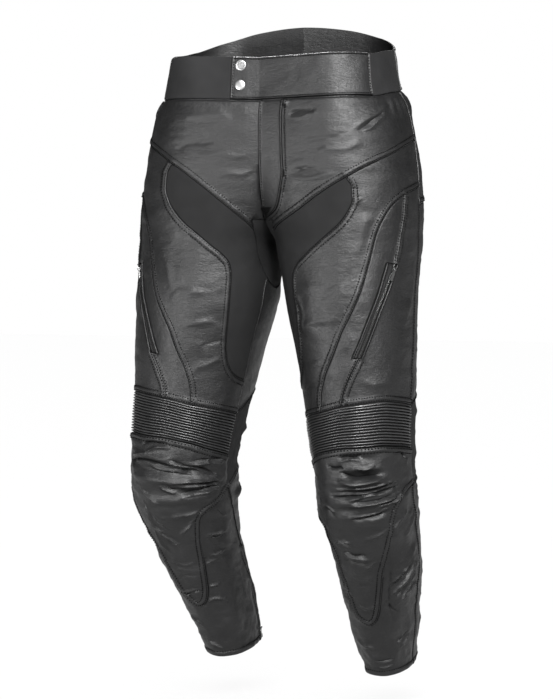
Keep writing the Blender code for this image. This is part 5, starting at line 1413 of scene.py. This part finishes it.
def stitch_places(surface, line, row):
    """Give evenly spaced stitches' centres and ends along a row beside a seam."""
    choices = [offset_line(line, surface.side, row, way) for way in (1, -1)]
    moved = max(choices,
                key=lambda choice: inside_loop(choice * surface.scale, surface.loop).sum())
    run = travelled(moved, surface.scale)
    count = int(run[-1] / STITCH_PITCH)
    if count < 2:
        return np.zeros((0, 2)), np.zeros((0, 2))
    places = (np.arange(count) + 0.5) * STITCH_PITCH
    centres = points_at(moved, run, places)
    ends = points_at(moved, run, places + 0.5 * STITCH_LENGTH)
    keep = inside_loop(centres * surface.scale, surface.loop)
    keep &= surface.edge_distance(centres) > min(STITCH_HOLD * row, STITCH_CLEAR)
    return centres[keep], ends[keep]


def stitch_mesh(centres, ends, normals):
    """Make small pointed rods, one for each stitch."""
    run = ends - centres
    half = np.linalg.norm(run, axis=1, keepdims=True)
    run = run / np.maximum(half, 1e-9)
    aside = np.cross(run, normals)
    aside /= np.maximum(np.linalg.norm(aside, axis=1, keepdims=True), 1e-9)
    sides = STITCH_SIDES
    points = [centres - run * half - normals * STITCH_RADIUS]
    for place in (-STITCH_SHOULDER, STITCH_SHOULDER):
        for turn in range(sides):
            swing = 2 * math.pi * turn / sides
            spread = aside * math.cos(swing) + normals * math.sin(swing)
            points.append(centres + run * half * place + spread * STITCH_RADIUS)
    points.append(centres + run * half - normals * STITCH_RADIUS)
    faces = []
    for base in range(0, len(points) * len(centres), len(points)):
        for turn in range(sides):
            a, b = base + 1 + turn, base + 1 + (turn + 1) % sides
            faces += [(base, b, a), (a, b, b + sides, a + sides),
                      (base + len(points) - 1, a + sides, b + sides)]
    return np.stack(points, axis=1).reshape(-1, 3), faces


def sew(name, jobs, material):
    """Sew every stitched row of some surfaces as one mesh."""
    all_points = []
    all_faces = []
    total = 0
    for surface, lines in jobs:
        for line, row in ((line, row) for line, rows in lines for row in rows):
            centres, ends = stitch_places(surface, line, row)
            if not len(centres):
                continue
            normals = skin_frame(centres[:, 0], centres[:, 1], surface.side)[2]
            points, faces = stitch_mesh(surface.outer(centres, STITCH_LIFT),
                                        surface.outer(ends, STITCH_LIFT), normals)
            all_points.append(points)
            all_faces += [tuple(total + corner for corner in face) for face in faces]
            total += len(points)
    add_piece(name, np.vstack(all_points), all_faces, material)


class Ribs:
    """The ribs of a knee panel between its top and bottom seams."""

    def __init__(self, seams):
        self.top = np.vstack([seams["knee_top_side"], seams["knee_top_pocket"][1:],
                              seams["knee_top_thigh"][1:]])[::-1]
        self.bottom = seams["knee_bottom"][::-1]

    def levels(self, angles):
        """Give the top and bottom seams' levels at some angles."""
        return [np.interp(angles, seam[:, 0], seam[:, 1]) for seam in (self.top, self.bottom)]

    def share(self, points):
        """Give the points' shares of the way from the top seam to the bottom one."""
        high, low = self.levels(points[:, 0])
        return (high - points[:, 1]) / (high - low)

    def height(self, points):
        """Give the ribs' height: round crests that lean up, and narrow valleys."""
        share = self.share(points)
        place = np.clip(share, 0.0, 1.0) * RIB_COUNT
        wave = np.sin(math.pi * (place - np.floor(place)) ** RIB_LEAN)
        noise = lattice_noise(points[:, 0] / RIB_UNEVEN_ANGLE, share * RIB_COUNT * 0.5, 5)
        uneven = 1 - RIB_UNEVEN + RIB_UNEVEN * noise
        return (np.abs(wave) ** RIB_ROUND * RIB_RELIEF - RIB_SINK) * uneven

    def spread(self, points):
        """Lay points out flat with the ribs level and their rows drawn apart."""
        down = self.share(points) * RIB_COUNT * RIB_ROWS
        return np.column_stack([points[:, 0] / RIB_COLUMN_ANGLE + RIB_SHEAR * down, -down])

    def rows(self):
        """Give rows of points that follow the ribs."""
        first = max(self.top[0, 0], self.bottom[0, 0]) + RIB_END_ANGLE
        last = min(self.top[-1, 0], self.bottom[-1, 0]) - RIB_END_ANGLE
        angles = np.linspace(first, last, int((last - first) / RIB_COLUMN_ANGLE))
        high, low = self.levels(angles)
        count = RIB_COUNT * RIB_ROWS
        return np.vstack([np.column_stack([angles, high + (low - high) * (row / count)])
                          for row in range(1, count)])


def dress_leg(side, seams, materials):
    """Dress every piece of one side, and give the surfaces and lines to stitch."""
    if side == LEFT:
        pieces = FLY_PIECES + LEG_PIECES
    else:
        pieces = PLAIN_YOKE + LEG_PIECES
    jobs = []
    for name, cloth, loop, stitched, options in pieces:
        if cloth == "ribbed":
            options = {**options, "ribs": Ribs(seams)}
        jobs.append(dress_piece(f"{name}_{SIDE_NAMES[side]}", cloth, side, seams, loop.split(),
                                materials[cloth], stitched, **options))
    return jobs


def grid_shell(outer, inner):
    """Give a shell's points and faces from its two grids of points, and its outer faces' count."""
    columns, rows = outer.shape[:2]
    total = columns * rows
    points = np.vstack([outer.reshape(-1, 3), inner.reshape(-1, 3)])
    faces = []
    for column in range(columns - 1):
        for row in range(rows - 1):
            a = column * rows + row
            faces.append((a, a + rows, a + rows + 1, a + 1))
    outer_count = len(faces)
    faces += [tuple(total + corner for corner in reversed(face)) for face in faces]
    rim = [column * rows for column in range(columns)]
    rim += [(columns - 1) * rows + row for row in range(1, rows)]
    rim += [column * rows + rows - 1 for column in range(columns - 2, -1, -1)]
    rim += list(range(rows - 2, 0, -1))
    for corner, after in zip(rim, rim[1:] + rim[:1]):
        faces.append((after, corner, corner + total, after + total))
    return points, faces, outer_count


def edged_places(first, last, count):
    """Give places from first to last, close together near both ends."""
    offsets = np.array(BAND_EDGE_OFFSETS)
    inner = np.linspace(first + BAND_EDGE, last - BAND_EDGE, count)
    return np.concatenate([first + offsets, inner, (last - offsets)[::-1]])


def band_skin(runs):
    """Give a band piece's columns of pattern points, their sides, and the skin under them."""
    back_angle = float(middle_angle(0.0, back=True))
    columns = []
    sides = []
    for side, angles in runs:
        for angle in angles:
            height = float(read_table(BAND_HEIGHT, angle)[0])
            levels = edged_places(OUTER_GAP / 2, height, BAND_ROWS)
            places = np.full(len(levels), float(angle))
            if angle > back_angle - 1.0:
                places += [middle_angle(level, back=True) - back_angle for level in levels]
            columns.append(np.column_stack([places, levels]))
            sides.append(side)
    columns = np.array(columns)
    skin = np.zeros(columns.shape[:2] + (3,))
    normal = np.zeros_like(skin)
    for side in set(sides):
        pick = [index for index, other in enumerate(sides) if other == side]
        skin[pick] = skin_point(columns[pick, :, 0], columns[pick, :, 1], side)
        normal[pick] = skin_frame(columns[pick, :, 0], columns[pick, :, 1], side)[2]
    return columns[:, :, 1], sides, skin, normal


def dress_band(node, cloth, runs, materials, lift=0.0, rows=(), crumple=1.0):
    """Make a piece of the waistband from runs of one or both sides, and sew its rows."""
    up, sides, skin, normal = band_skin(runs)
    run = np.linalg.norm(np.diff(skin[:, 0], axis=0), axis=1)
    along = np.concatenate([[0.0], np.cumsum(run)])
    from_end = np.minimum(along, along[-1] - along)[:, None]
    edge = np.minimum(from_end, np.minimum(up, up[:, -1:] - up))
    x = along[:, None] + 0 * up
    relief = np.zeros_like(up)
    for height, wide, tall, seed in BAND_CRUMPLES:
        relief += crumple * height * lattice_noise(x / wide, up / tall, seed)
    relief += BAND_PUFF * (1 - np.exp(-edge / BAND_PUFF_REACH)) + groove_relief(edge)
    if rows:
        relief += row_relief(edge, rows)
    outer = skin + upright_offset(skin, normal * (lift + relief)[..., None])
    inner = skin + upright_offset(skin, -normal * WALL)
    for place, beside in ((0, 1), (-1, -2)):
        way = inner[place] - inner[beside]
        way /= np.linalg.norm(way, axis=1, keepdims=True)
        inner[place] += way * (OUTER_GAP - INNER_GAP) / 2
        if np.abs(inner[place][:, 0]).max() < MIDDLE_REACH:
            inner[place, :, 0] = sides[place] * INNER_GAP / 6
    inner[:, 0, 2] -= (OUTER_GAP - INNER_GAP) / 2
    points, faces, outer_count = grid_shell(outer, inner)
    thing = add_piece(f"{node}_shell", points, faces, materials[cloth], node)
    paint_rim(thing, 2 * outer_count)
    if rows:
        sew_band(f"{node}_stitches", (outer, normal, along, up), rows, materials["thread"])


def sew_band(name, grid, rows, material):
    """Sew the rows round a band piece: along it low and high, then up both of its ends."""
    outer, normal, along, up = grid
    columns, levels = outer.shape[:2]

    def surface_at(distance, height):
        column = np.clip(np.interp(distance, along, np.arange(columns)), 0, columns - 1.001)
        first = int(column)
        share = column - first
        line = outer[first] * (1 - share) + outer[first + 1] * share
        ups = up[first] * (1 - share) + up[first + 1] * share
        place = np.array([np.interp(height, ups, line[:, axis]) for axis in range(3)])
        return place, normal[first, levels // 2]

    stitches = []
    half = 0.5 * STITCH_LENGTH
    for row in rows:
        for low in (True, False):
            for stitch in range(int((along[-1] - 2 * row) / STITCH_PITCH)):
                distance = row + (stitch + 0.5) * STITCH_PITCH
                height = row if low else np.interp(distance, along, up[:, -1]) - row
                stitches.append((distance, height, distance + half, height))
        for distance in (row, along[-1] - row):
            for stitch in range(int((float(up[0, -1]) - 2 * row) / STITCH_PITCH)):
                height = row + (stitch + 0.5) * STITCH_PITCH
                stitches.append((distance, height, distance, height + half))
    centres, normals = zip(*[surface_at(*stitch[:2]) for stitch in stitches])
    ends = [surface_at(*stitch[2:])[0] for stitch in stitches]
    points, faces = stitch_mesh(np.array(centres), np.array(ends), np.array(normals))
    add_piece(name, points, faces, material)


def band_angles(first, last, first_gap=True, last_gap=True):
    """Give a band piece's column angles, with half a seam gap left at either end or not."""
    gap = OUTER_GAP / 2 / BAND_DEGREE
    metre = 1 / BAND_DEGREE
    start = (first + gap * first_gap) / metre
    end = (last - gap * last_gap) / metre
    return edged_places(start, end, max(4, round((end - start) / BAND_STEP))) * metre


def dress_waistband(materials):
    """Dress the band: leather front with its tab, stretch sides and back halves."""
    front = float(middle_angle(0.0))
    back = float(middle_angle(0.0, back=True))
    tab = band_angles(front, BAND_TAB_END, first_gap=False)[1:][::-1]
    leather = band_angles(front, BAND_LEATHER_END, first_gap=False)
    left_side = band_angles(BAND_LEATHER_END, BAND_BACK_START)
    right_side = band_angles(BAND_TAB_END, BAND_BACK_START)[::-1]
    half = band_angles(BAND_BACK_START, back)
    dress_band("waistband_front", "leather", ((RIGHT, tab), (LEFT, leather)), materials,
               BAND_LIFT, BAND_ROW)
    dress_band("waistband_stretch_left", "elastic", ((LEFT, left_side),), materials,
               crumple=ELASTIC_CRUMPLE)
    dress_band("waistband_stretch_right", "elastic", ((RIGHT, right_side),), materials,
               crumple=ELASTIC_CRUMPLE)
    dress_band("waistband_back_left", "leather", ((LEFT, half),), materials, rows=BAND_ROW)
    dress_band("waistband_back_right", "leather", ((RIGHT, half[::-1]),), materials,
               rows=BAND_ROW)


def dress_gusset(seams, material):
    """Dress the crotch gusset as one strip across the middle plane."""
    side_line = resample(np.vstack([seams["gusset_yoke"], seams["gusset_groin"][1:],
                                    seams["gusset_back"][1:]]), GUSSET_STEP)
    fly_foot = seams["gusset_top"][0]
    back_foot = seams["gusset_end"][-1]
    centre = crotch_line(fly_foot[0] - 1, back_foot[0] + 1, 0.0, GUSSET_STEP)
    centre = np.vstack([[fly_foot], centre, [back_foot]])
    run = travelled(centre)
    centre = points_at(centre, run, np.linspace(0.0, run[-1], len(side_line)))
    for line in (side_line, centre):
        line[0] = line[0] + (line[1] - line[0]) * GUSSET_TRIM
        line[-1] = line[-1] + (line[-2] - line[-1]) * GUSSET_TRIM
    inset_share = 1 - (OUTER_GAP / 2) / GUSSET_HALF
    outer = []
    inner = []
    for share in np.linspace(inset_share, -inset_share, GUSSET_COLUMNS):
        place = centre + (side_line - centre) * abs(share)
        side = LEFT if share >= 0 else RIGHT
        edge = (1 - abs(share)) * GUSSET_HALF
        dip = GUSSET_DIP * math.exp(-(edge / GUSSET_DIP_WIDTH) ** 2)
        noise = lattice_noise(place[:, 1] / GUSSET_CELL, np.full(len(place), share * 2),
                              GUSSET_SEED)
        lift = GUSSET_CRUMPLE * noise - dip
        normal = skin_frame(place[:, 0], place[:, 1], side)[2]
        skin = skin_point(place[:, 0], place[:, 1], side)
        out = skin + normal * lift[:, None]
        under = skin - normal * STRETCH_WALL
        if abs(share) < 1e-9:
            out[:, 0] = 0.0
            under[:, 0] = 0.0
        outer.append(out)
        inner.append(under)
    points, faces, outer_count = grid_shell(np.array(outer), np.array(inner))
    thing = add_piece("crotch_gusset_shell", points, faces, material,
                      "crotch_gusset")


def sew_bar_tack(material):
    """Sew the close rows that hold the fly's foot, each shorter than the one above."""
    share = np.linspace(0.0, 1.0, TACK_ROWS)
    level = TACK_TOP - TACK_HEIGHT * share
    middle = TACK_ANGLE - TACK_LEAN * share
    end = middle + TACK_REACH * (1 - TACK_TAPER * share)
    normals = skin_frame(middle, level, LEFT)[2]
    points, faces = stitch_mesh(cloth_point(middle, level, LEFT, TACK_LIFT),
                                cloth_point(end, level, LEFT, TACK_LIFT), normals)
    add_piece("fly_bar_tack", points, faces, material)


def zip_teeth(name, line, side, material):
    """Make a closed zip's two rows of meshed teeth along a pattern line."""
    run = travelled(line, pattern_scale(line, side))
    count = int(run[-1] / TOOTH_PITCH)
    places = (np.arange(count) + 0.5) * TOOTH_PITCH
    angle, level = points_at(line, run, places).T
    normals = skin_frame(angle, level, side)[2]
    skin = skin_point(angle, level, side)
    base = skin + normals * (TOOTH_LIFT + fold_height(angle, level, side))[:, None]
    ahead = skin_point(*points_at(line, run, places + TOOTH_PROBE).T, side) - skin
    ahead /= np.maximum(np.linalg.norm(ahead, axis=1, keepdims=True), 1e-9)
    aside = np.cross(normals, ahead)
    points = []
    faces = []
    for index in range(count):
        way = 1 if index % 2 else -1
        middle = base[index] + aside[index] * way * TOOTH_ASIDE
        start = len(points)
        for high, spread in TOOTH_PROFILE:
            for a, b in ((-1, -1), (1, -1), (1, 1), (-1, 1)):
                points.append(middle + aside[index] * a * TOOTH_HALF_WIDTH * spread
                              + ahead[index] * b * TOOTH_HALF_LENGTH * spread
                              + normals[index] * high)
        for ring in (0, 4):
            for turn in range(4):
                low = start + ring
                after = (turn + 1) % 4
                faces.append((low + turn, low + after, low + 4 + after, low + 4 + turn))
        faces.append((start + 8, start + 9, start + 10, start + 11))
        faces.append((start + 3, start + 2, start + 1, start))
    add_piece(name, np.array(points), faces, material,
              smooth=TOOTH_SMOOTH_ANGLE)


def turned_cap(node, height, profile, metals):
    """Turn a snap cap at the place of its solid, with a second metal in its middle or not."""
    angle = np.array(SNAP_ANGLE)
    level = np.array(height)
    _, up_leg, normal = skin_frame(angle, level, RIGHT)
    origin = cloth_point(angle, level, RIGHT, BAND_LIFT + SNAP_SEAT)
    matrix = place_matrix(origin, -up_leg, normal)
    sides = SNAP_SIDES
    points = []
    for radius, rise in profile[:-1]:
        for turn in 2 * math.pi * np.arange(sides) / sides:
            spot = (radius * math.cos(turn), radius * math.sin(turn), rise)
            points.append(matrix @ Vector(spot))
    points.append(matrix @ Vector((0.0, 0.0, profile[-1][1])))
    faces = [tuple(reversed(range(sides)))]
    last = (len(profile) - 2) * sides
    for ring in range(0, last, sides):
        for step in range(sides):
            a, b = ring + step, ring + (step + 1) % sides
            faces.append((a, b, b + sides, a + sides))
    for step in range(sides):
        faces.append((last + step, last + (step + 1) % sides, len(points) - 1))
    thing = add_piece(f"{node}_cap", points, faces, metals[0], node)
    for metal in metals[1:]:
        thing.data.materials.append(metal)
        for polygon in thing.data.polygons:
            reach = (polygon.center - Vector(origin)).length
            if reach < SNAP_MIDDLE and polygon.index > 0:
                polygon.material_index = 1


class Paint:
    """One procedural material, with the nodes that feed its shader."""

    def __init__(self, name, colour, roughness, metallic=0.0, specular=None):
        self.material = bpy.data.materials.new(name)
        self.material.use_nodes = True
        self.nodes = self.material.node_tree.nodes
        self.links = self.material.node_tree.links
        self.inputs = self.nodes["Principled BSDF"].inputs
        self.inputs["Base Color"].default_value = (*colour, 1.0)
        self.inputs["Roughness"].default_value = roughness
        self.inputs["Metallic"].default_value = metallic
        if specular is not None:
            self.inputs["Specular IOR Level"].default_value = specular
        self.place = self.nodes.new("ShaderNodeTexCoord").outputs["Object"]

    def texture(self, kind, output, place=None, **settings):
        """Add a texture with some settings, and give one of its outputs."""
        node = self.nodes.new(f"ShaderNodeTex{kind}")
        for name, value in settings.items():
            if name.istitle():
                node.inputs[name].default_value = value
            else:
                setattr(node, name, value)
        self.links.new(self.place if place is None else place, node.inputs["Vector"])
        return node.outputs[output]

    def noise(self, scale, detail=2.0, roughness=0.5, place=None):
        """Add a noise texture."""
        return self.texture("Noise", "Fac", place, Scale=scale, Detail=detail,
                            Roughness=roughness)

    def ramp(self, source, *stops):
        """Add a colour ramp from places and greys or colours."""
        node = self.nodes.new("ShaderNodeValToRGB")
        self.links.new(source, node.inputs["Fac"])
        elements = node.color_ramp.elements
        while len(elements) < len(stops):
            elements.new(0.5)
        for element, (place, colour) in zip(elements, stops):
            element.position = place
            element.color = (*(colour if isinstance(colour, tuple) else (colour,) * 3), 1.0)
        return node.outputs["Color"]

    def feed(self, name, source):
        """Feed one of the shader's inputs."""
        self.links.new(source, self.inputs[name])

    def bumps(self, *layers):
        """Feed the shader's normal from a chain of bumps: height, strength and distance."""
        before = None
        for height, strength, distance in layers:
            bump = self.nodes.new("ShaderNodeBump")
            bump.inputs["Strength"].default_value = strength
            bump.inputs["Distance"].default_value = distance
            self.links.new(height, bump.inputs["Height"])
            if before is not None:
                self.links.new(before, bump.inputs["Normal"])
            before = bump.outputs["Normal"]
        self.feed("Normal", before)


def leather_material():
    """Make soft grained leather with faint creases and uneven sheen."""
    paint = Paint("leather_fine", LEATHER_COLOUR, 0.46, specular=0.27)
    grain = paint.texture("Voronoi", "Distance", feature="DISTANCE_TO_EDGE", Scale=620.0)
    edge = paint.ramp(grain, (0.0, 0.0), (0.16, 0.8), (0.5, 1.0))
    flatten = paint.nodes.new("ShaderNodeVectorMath")
    flatten.operation = "MULTIPLY"
    flatten.inputs[1].default_value = (1.0, 1.0, 2.6)
    paint.links.new(paint.place, flatten.inputs[0])
    wrinkle = paint.noise(55.0, 4.0, 0.6, flatten.outputs["Vector"])
    lines = paint.ramp(wrinkle, (0.40, 1.0), (0.50, 0.0), (0.60, 1.0))
    fine = paint.noise(900.0, 3.0)
    soft = paint.noise(210.0, 4.0, 0.65)
    broad = paint.noise(34.0, 3.0)
    paint.bumps((broad, 0.35, 0.0014), (lines, 0.22, 0.0008), (soft, 0.50, 0.0008),
                (edge, 0.30, 0.00022), (fine, 0.20, 0.00012))
    patch = paint.noise(14.0, 3.0)
    paint.feed("Base Color", paint.ramp(patch, (0.30, LEATHER_DARK), (0.52, LEATHER_COLOUR),
                                        (0.72, LEATHER_PALE)))
    paint.feed("Roughness", paint.ramp(soft, (0.3, 0.44), (0.7, 0.58)))
    return paint.material


def woven_material(name, colour, scale, strength):
    """Make a matt stretch weave with fine crossing threads."""
    paint = Paint(name, colour, 0.82, specular=0.15)
    threads = [(paint.texture("Wave", "Fac", bands_direction=direction, Scale=scale,
                              Distortion=0.35), strength, 0.00022) for direction in "XZ"]
    paint.bumps(*threads, (paint.noise(420.0, 3.0), 0.35, 0.00018))
    dark = tuple(0.78 * part for part in colour)
    pale = tuple(1.25 * part for part in colour)
    paint.feed("Base Color", paint.ramp(paint.noise(30.0, 3.0), (0.3, dark), (0.7, pale)))
    return paint.material


def ribbed_material():
    """Make the knee ribs' thin coated cloth, a little shinier in places."""
    paint = Paint("ribbed_fine", RIBBED_COLOUR, 0.42, specular=0.65)
    fine = paint.noise(520.0, 3.0)
    soft = paint.noise(90.0, 3.0)
    paint.bumps((soft, 0.14, 0.0006), (fine, 0.20, 0.00015))
    paint.feed("Roughness", paint.ramp(soft, (0.3, 0.38), (0.7, 0.50)))
    return paint.material


def metal_material(name, colour, roughness):
    """Make plated metal with faint wear."""
    paint = Paint(name, colour, roughness, 1.0)
    wear = paint.noise(700.0, 4.0, 0.7)
    low = max(0.05, roughness - METAL_WEAR)
    paint.feed("Roughness", paint.ramp(wear, (0.3, low), (0.7, roughness + METAL_WEAR)))
    paint.bumps((wear, 0.12, 0.00008))
    return paint.material


def knurled_material():
    """Make the upper snap's dark textured middle."""
    paint = Paint("snap_middle", (0.12, 0.12, 0.12), 0.5, 1.0)
    paint.bumps((paint.texture("Voronoi", "Distance", Scale=900.0), 0.8, 0.0004))
    return paint.material


def thread_material():
    """Make dark sewing thread."""
    paint = Paint("thread_fine", THREAD_COLOUR, 0.7, specular=0.02)
    twist = paint.texture("Wave", "Fac", bands_direction="DIAGONAL", Scale=900.0)
    paint.bumps((twist, 0.5, 0.0001))
    return paint.material


def cut_edge_material():
    """Make the dull material of a cloth's cut edge."""
    paint = Paint("cut_edge_fine", CUT_EDGE_COLOUR, 0.9, specular=0.05)
    paint.bumps((paint.noise(800.0), 0.2, 0.0001))
    return paint.material


def make_materials():
    """Make every material by name."""
    return {
        "cut_edge": cut_edge_material(),
        "leather": leather_material(),
        "stretch": woven_material("stretch_fine", STRETCH_COLOUR, 480.0, 0.5),
        "elastic": woven_material("elastic_fine", ELASTIC_COLOUR, 300.0, 0.6),
        "ribbed": ribbed_material(),
        "tape": woven_material("tape_fine", TAPE_COLOUR, 700.0, 0.5),
        "thread": thread_material(),
        "silver": metal_material("silver_fine", (0.32, 0.32, 0.32), 0.38),
        "knurled": knurled_material(),
        "dark_metal": metal_material("dark_metal_fine", (0.16, 0.16, 0.16), 0.36),
        "tooth": metal_material("tooth_fine", (0.05, 0.05, 0.05), 0.45),
    }


def look_at(thing, target):
    """Turn a camera or a lamp towards a point."""
    way = Vector(target) - thing.location
    thing.rotation_euler = way.to_track_quat("-Z", "Y").to_euler()


def add_camera():
    """Make the camera at the photograph's view."""
    azimuth = math.radians(CAMERA_AZIMUTH)
    elevation = math.radians(CAMERA_ELEVATION)
    back = Vector((math.sin(azimuth) * math.cos(elevation),
                   -math.cos(azimuth) * math.cos(elevation), math.sin(elevation)))
    data = bpy.data.cameras.new("camera")
    camera = bpy.data.objects.new("camera", data)
    bpy.context.scene.collection.objects.link(camera)
    camera.location = Vector(CAMERA_TARGET) + back * CAMERA_DISTANCE
    look_at(camera, CAMERA_TARGET)
    data.sensor_fit = "VERTICAL"
    data.sensor_height = CAMERA_SENSOR
    data.lens = CAMERA_LENS
    data.clip_start = 0.01
    bpy.context.scene.camera = camera


def add_floor():
    """Make the plain pale floor."""
    mesh = bpy.data.meshes.new("floor")
    corners = [(-FLOOR_REACH, -FLOOR_REACH, FLOOR_LEVEL), (FLOOR_REACH, -FLOOR_REACH, FLOOR_LEVEL),
               (FLOOR_REACH, FLOOR_REACH, FLOOR_LEVEL), (-FLOOR_REACH, FLOOR_REACH, FLOOR_LEVEL)]
    mesh.from_pydata(corners, [], [(0, 1, 2, 3)])
    floor = bpy.data.objects.new("floor", mesh)
    bpy.context.scene.collection.objects.link(floor)
    mesh.materials.append(Paint("floor_paint", FLOOR_COLOUR, 0.9).material)
    return floor


def set_world():
    """Make a white backdrop for the camera that lights the part only faintly."""
    world = bpy.data.worlds.new("studio")
    world.use_nodes = True
    nodes = world.node_tree.nodes
    links = world.node_tree.links
    choice = nodes.new("ShaderNodeMixShader")
    backgrounds = ((nodes["Background"], ROOM_LIGHT),
                   (nodes.new("ShaderNodeBackground"), 1.0))
    for place, (shader, strength) in enumerate(backgrounds, 1):
        shader.inputs["Color"].default_value = (1.0, 1.0, 1.0, 1.0)
        shader.inputs["Strength"].default_value = strength
        links.new(shader.outputs["Background"], choice.inputs[place])
    links.new(nodes.new("ShaderNodeLightPath").outputs["Is Camera Ray"], choice.inputs["Fac"])
    links.new(choice.outputs["Shader"], nodes["World Output"].inputs["Surface"])
    bpy.context.scene.world = world
    bpy.context.scene.view_settings.view_transform = "Standard"


def add_lamp(name, lamp, lit):
    """Add a lamp that lights only the objects of one collection."""
    thing = bpy.data.objects.new(name, lamp)
    bpy.context.scene.collection.objects.link(thing)
    thing.light_linking.receiver_collection = lit
    return thing


def build_stage():
    """Make the camera, the floor, the backdrop, and the lamps for the part and for the floor."""
    add_camera()
    floor = add_floor()
    set_world()
    ground = bpy.data.collections.new("ground")
    ground.objects.link(floor)
    dressed = bpy.data.collections.new("dressed")
    for thing in bpy.context.scene.objects:
        if thing.type == "MESH" and thing is not floor:
            dressed.objects.link(thing)
    for name, place, target, size, power in LAMPS:
        lamp = bpy.data.lights.new(name, "AREA")
        lamp.size = size
        lamp.energy = power
        thing = add_lamp(name, lamp, dressed)
        thing.location = place
        look_at(thing, target)
    for name, strength, spread, forward, aside in SUNS:
        lamp = bpy.data.lights.new(name, "SUN")
        lamp.energy = strength
        lamp.angle = math.radians(spread)
        lamp.use_shadow = name == "top"
        thing = add_lamp(name, lamp, dressed if name == "top" else ground)
        thing.rotation_euler = (math.radians(forward), math.radians(aside), 0.0)


def dress_hardware(materials):
    """Give the sliders and pull tabs their metal and fit the zips' teeth and the snaps."""
    for node, thing in frame["nodes"].items():
        if "slider" in node or "pull" in node:
            for index in range(len(thing.data.materials)):
                thing.data.materials[index] = materials["dark_metal"]
    upper, lower = SNAP_HEIGHTS
    turned_cap("snap_upper", upper, UPPER_SNAP, (materials["silver"], materials["knurled"]))
    turned_cap("snap_lower", lower, LOWER_SNAP, (materials["silver"],))
    pocket = resample(dense_line(POCKET_ZIP), ZIP_STEP)
    inseam = dense_line(INSEAM)
    ankle = resample(inseam[inseam[:, 1] < ANKLE_ZIP_TOP], ZIP_STEP)
    for side, label in SIDE_NAMES.items():
        zip_teeth(f"pocket_teeth_{label}", pocket, side, materials["tooth"])
        zip_teeth(f"ankle_teeth_{label}", ankle, side, materials["tooth"])


def main():
    """Dress the whole part and set the stage."""
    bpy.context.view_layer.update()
    materials = make_materials()
    for side, label in SIDE_NAMES.items():
        seams = leg_seams(side)
        sew(f"stitches_{label}", dress_leg(side, seams, materials), materials["thread"])
        if side == LEFT:
            dress_waistband(materials)
            dress_gusset(seams, materials["stretch"])
            sew_bar_tack(materials["thread"])
    dress_hardware(materials)
    build_stage()


main()
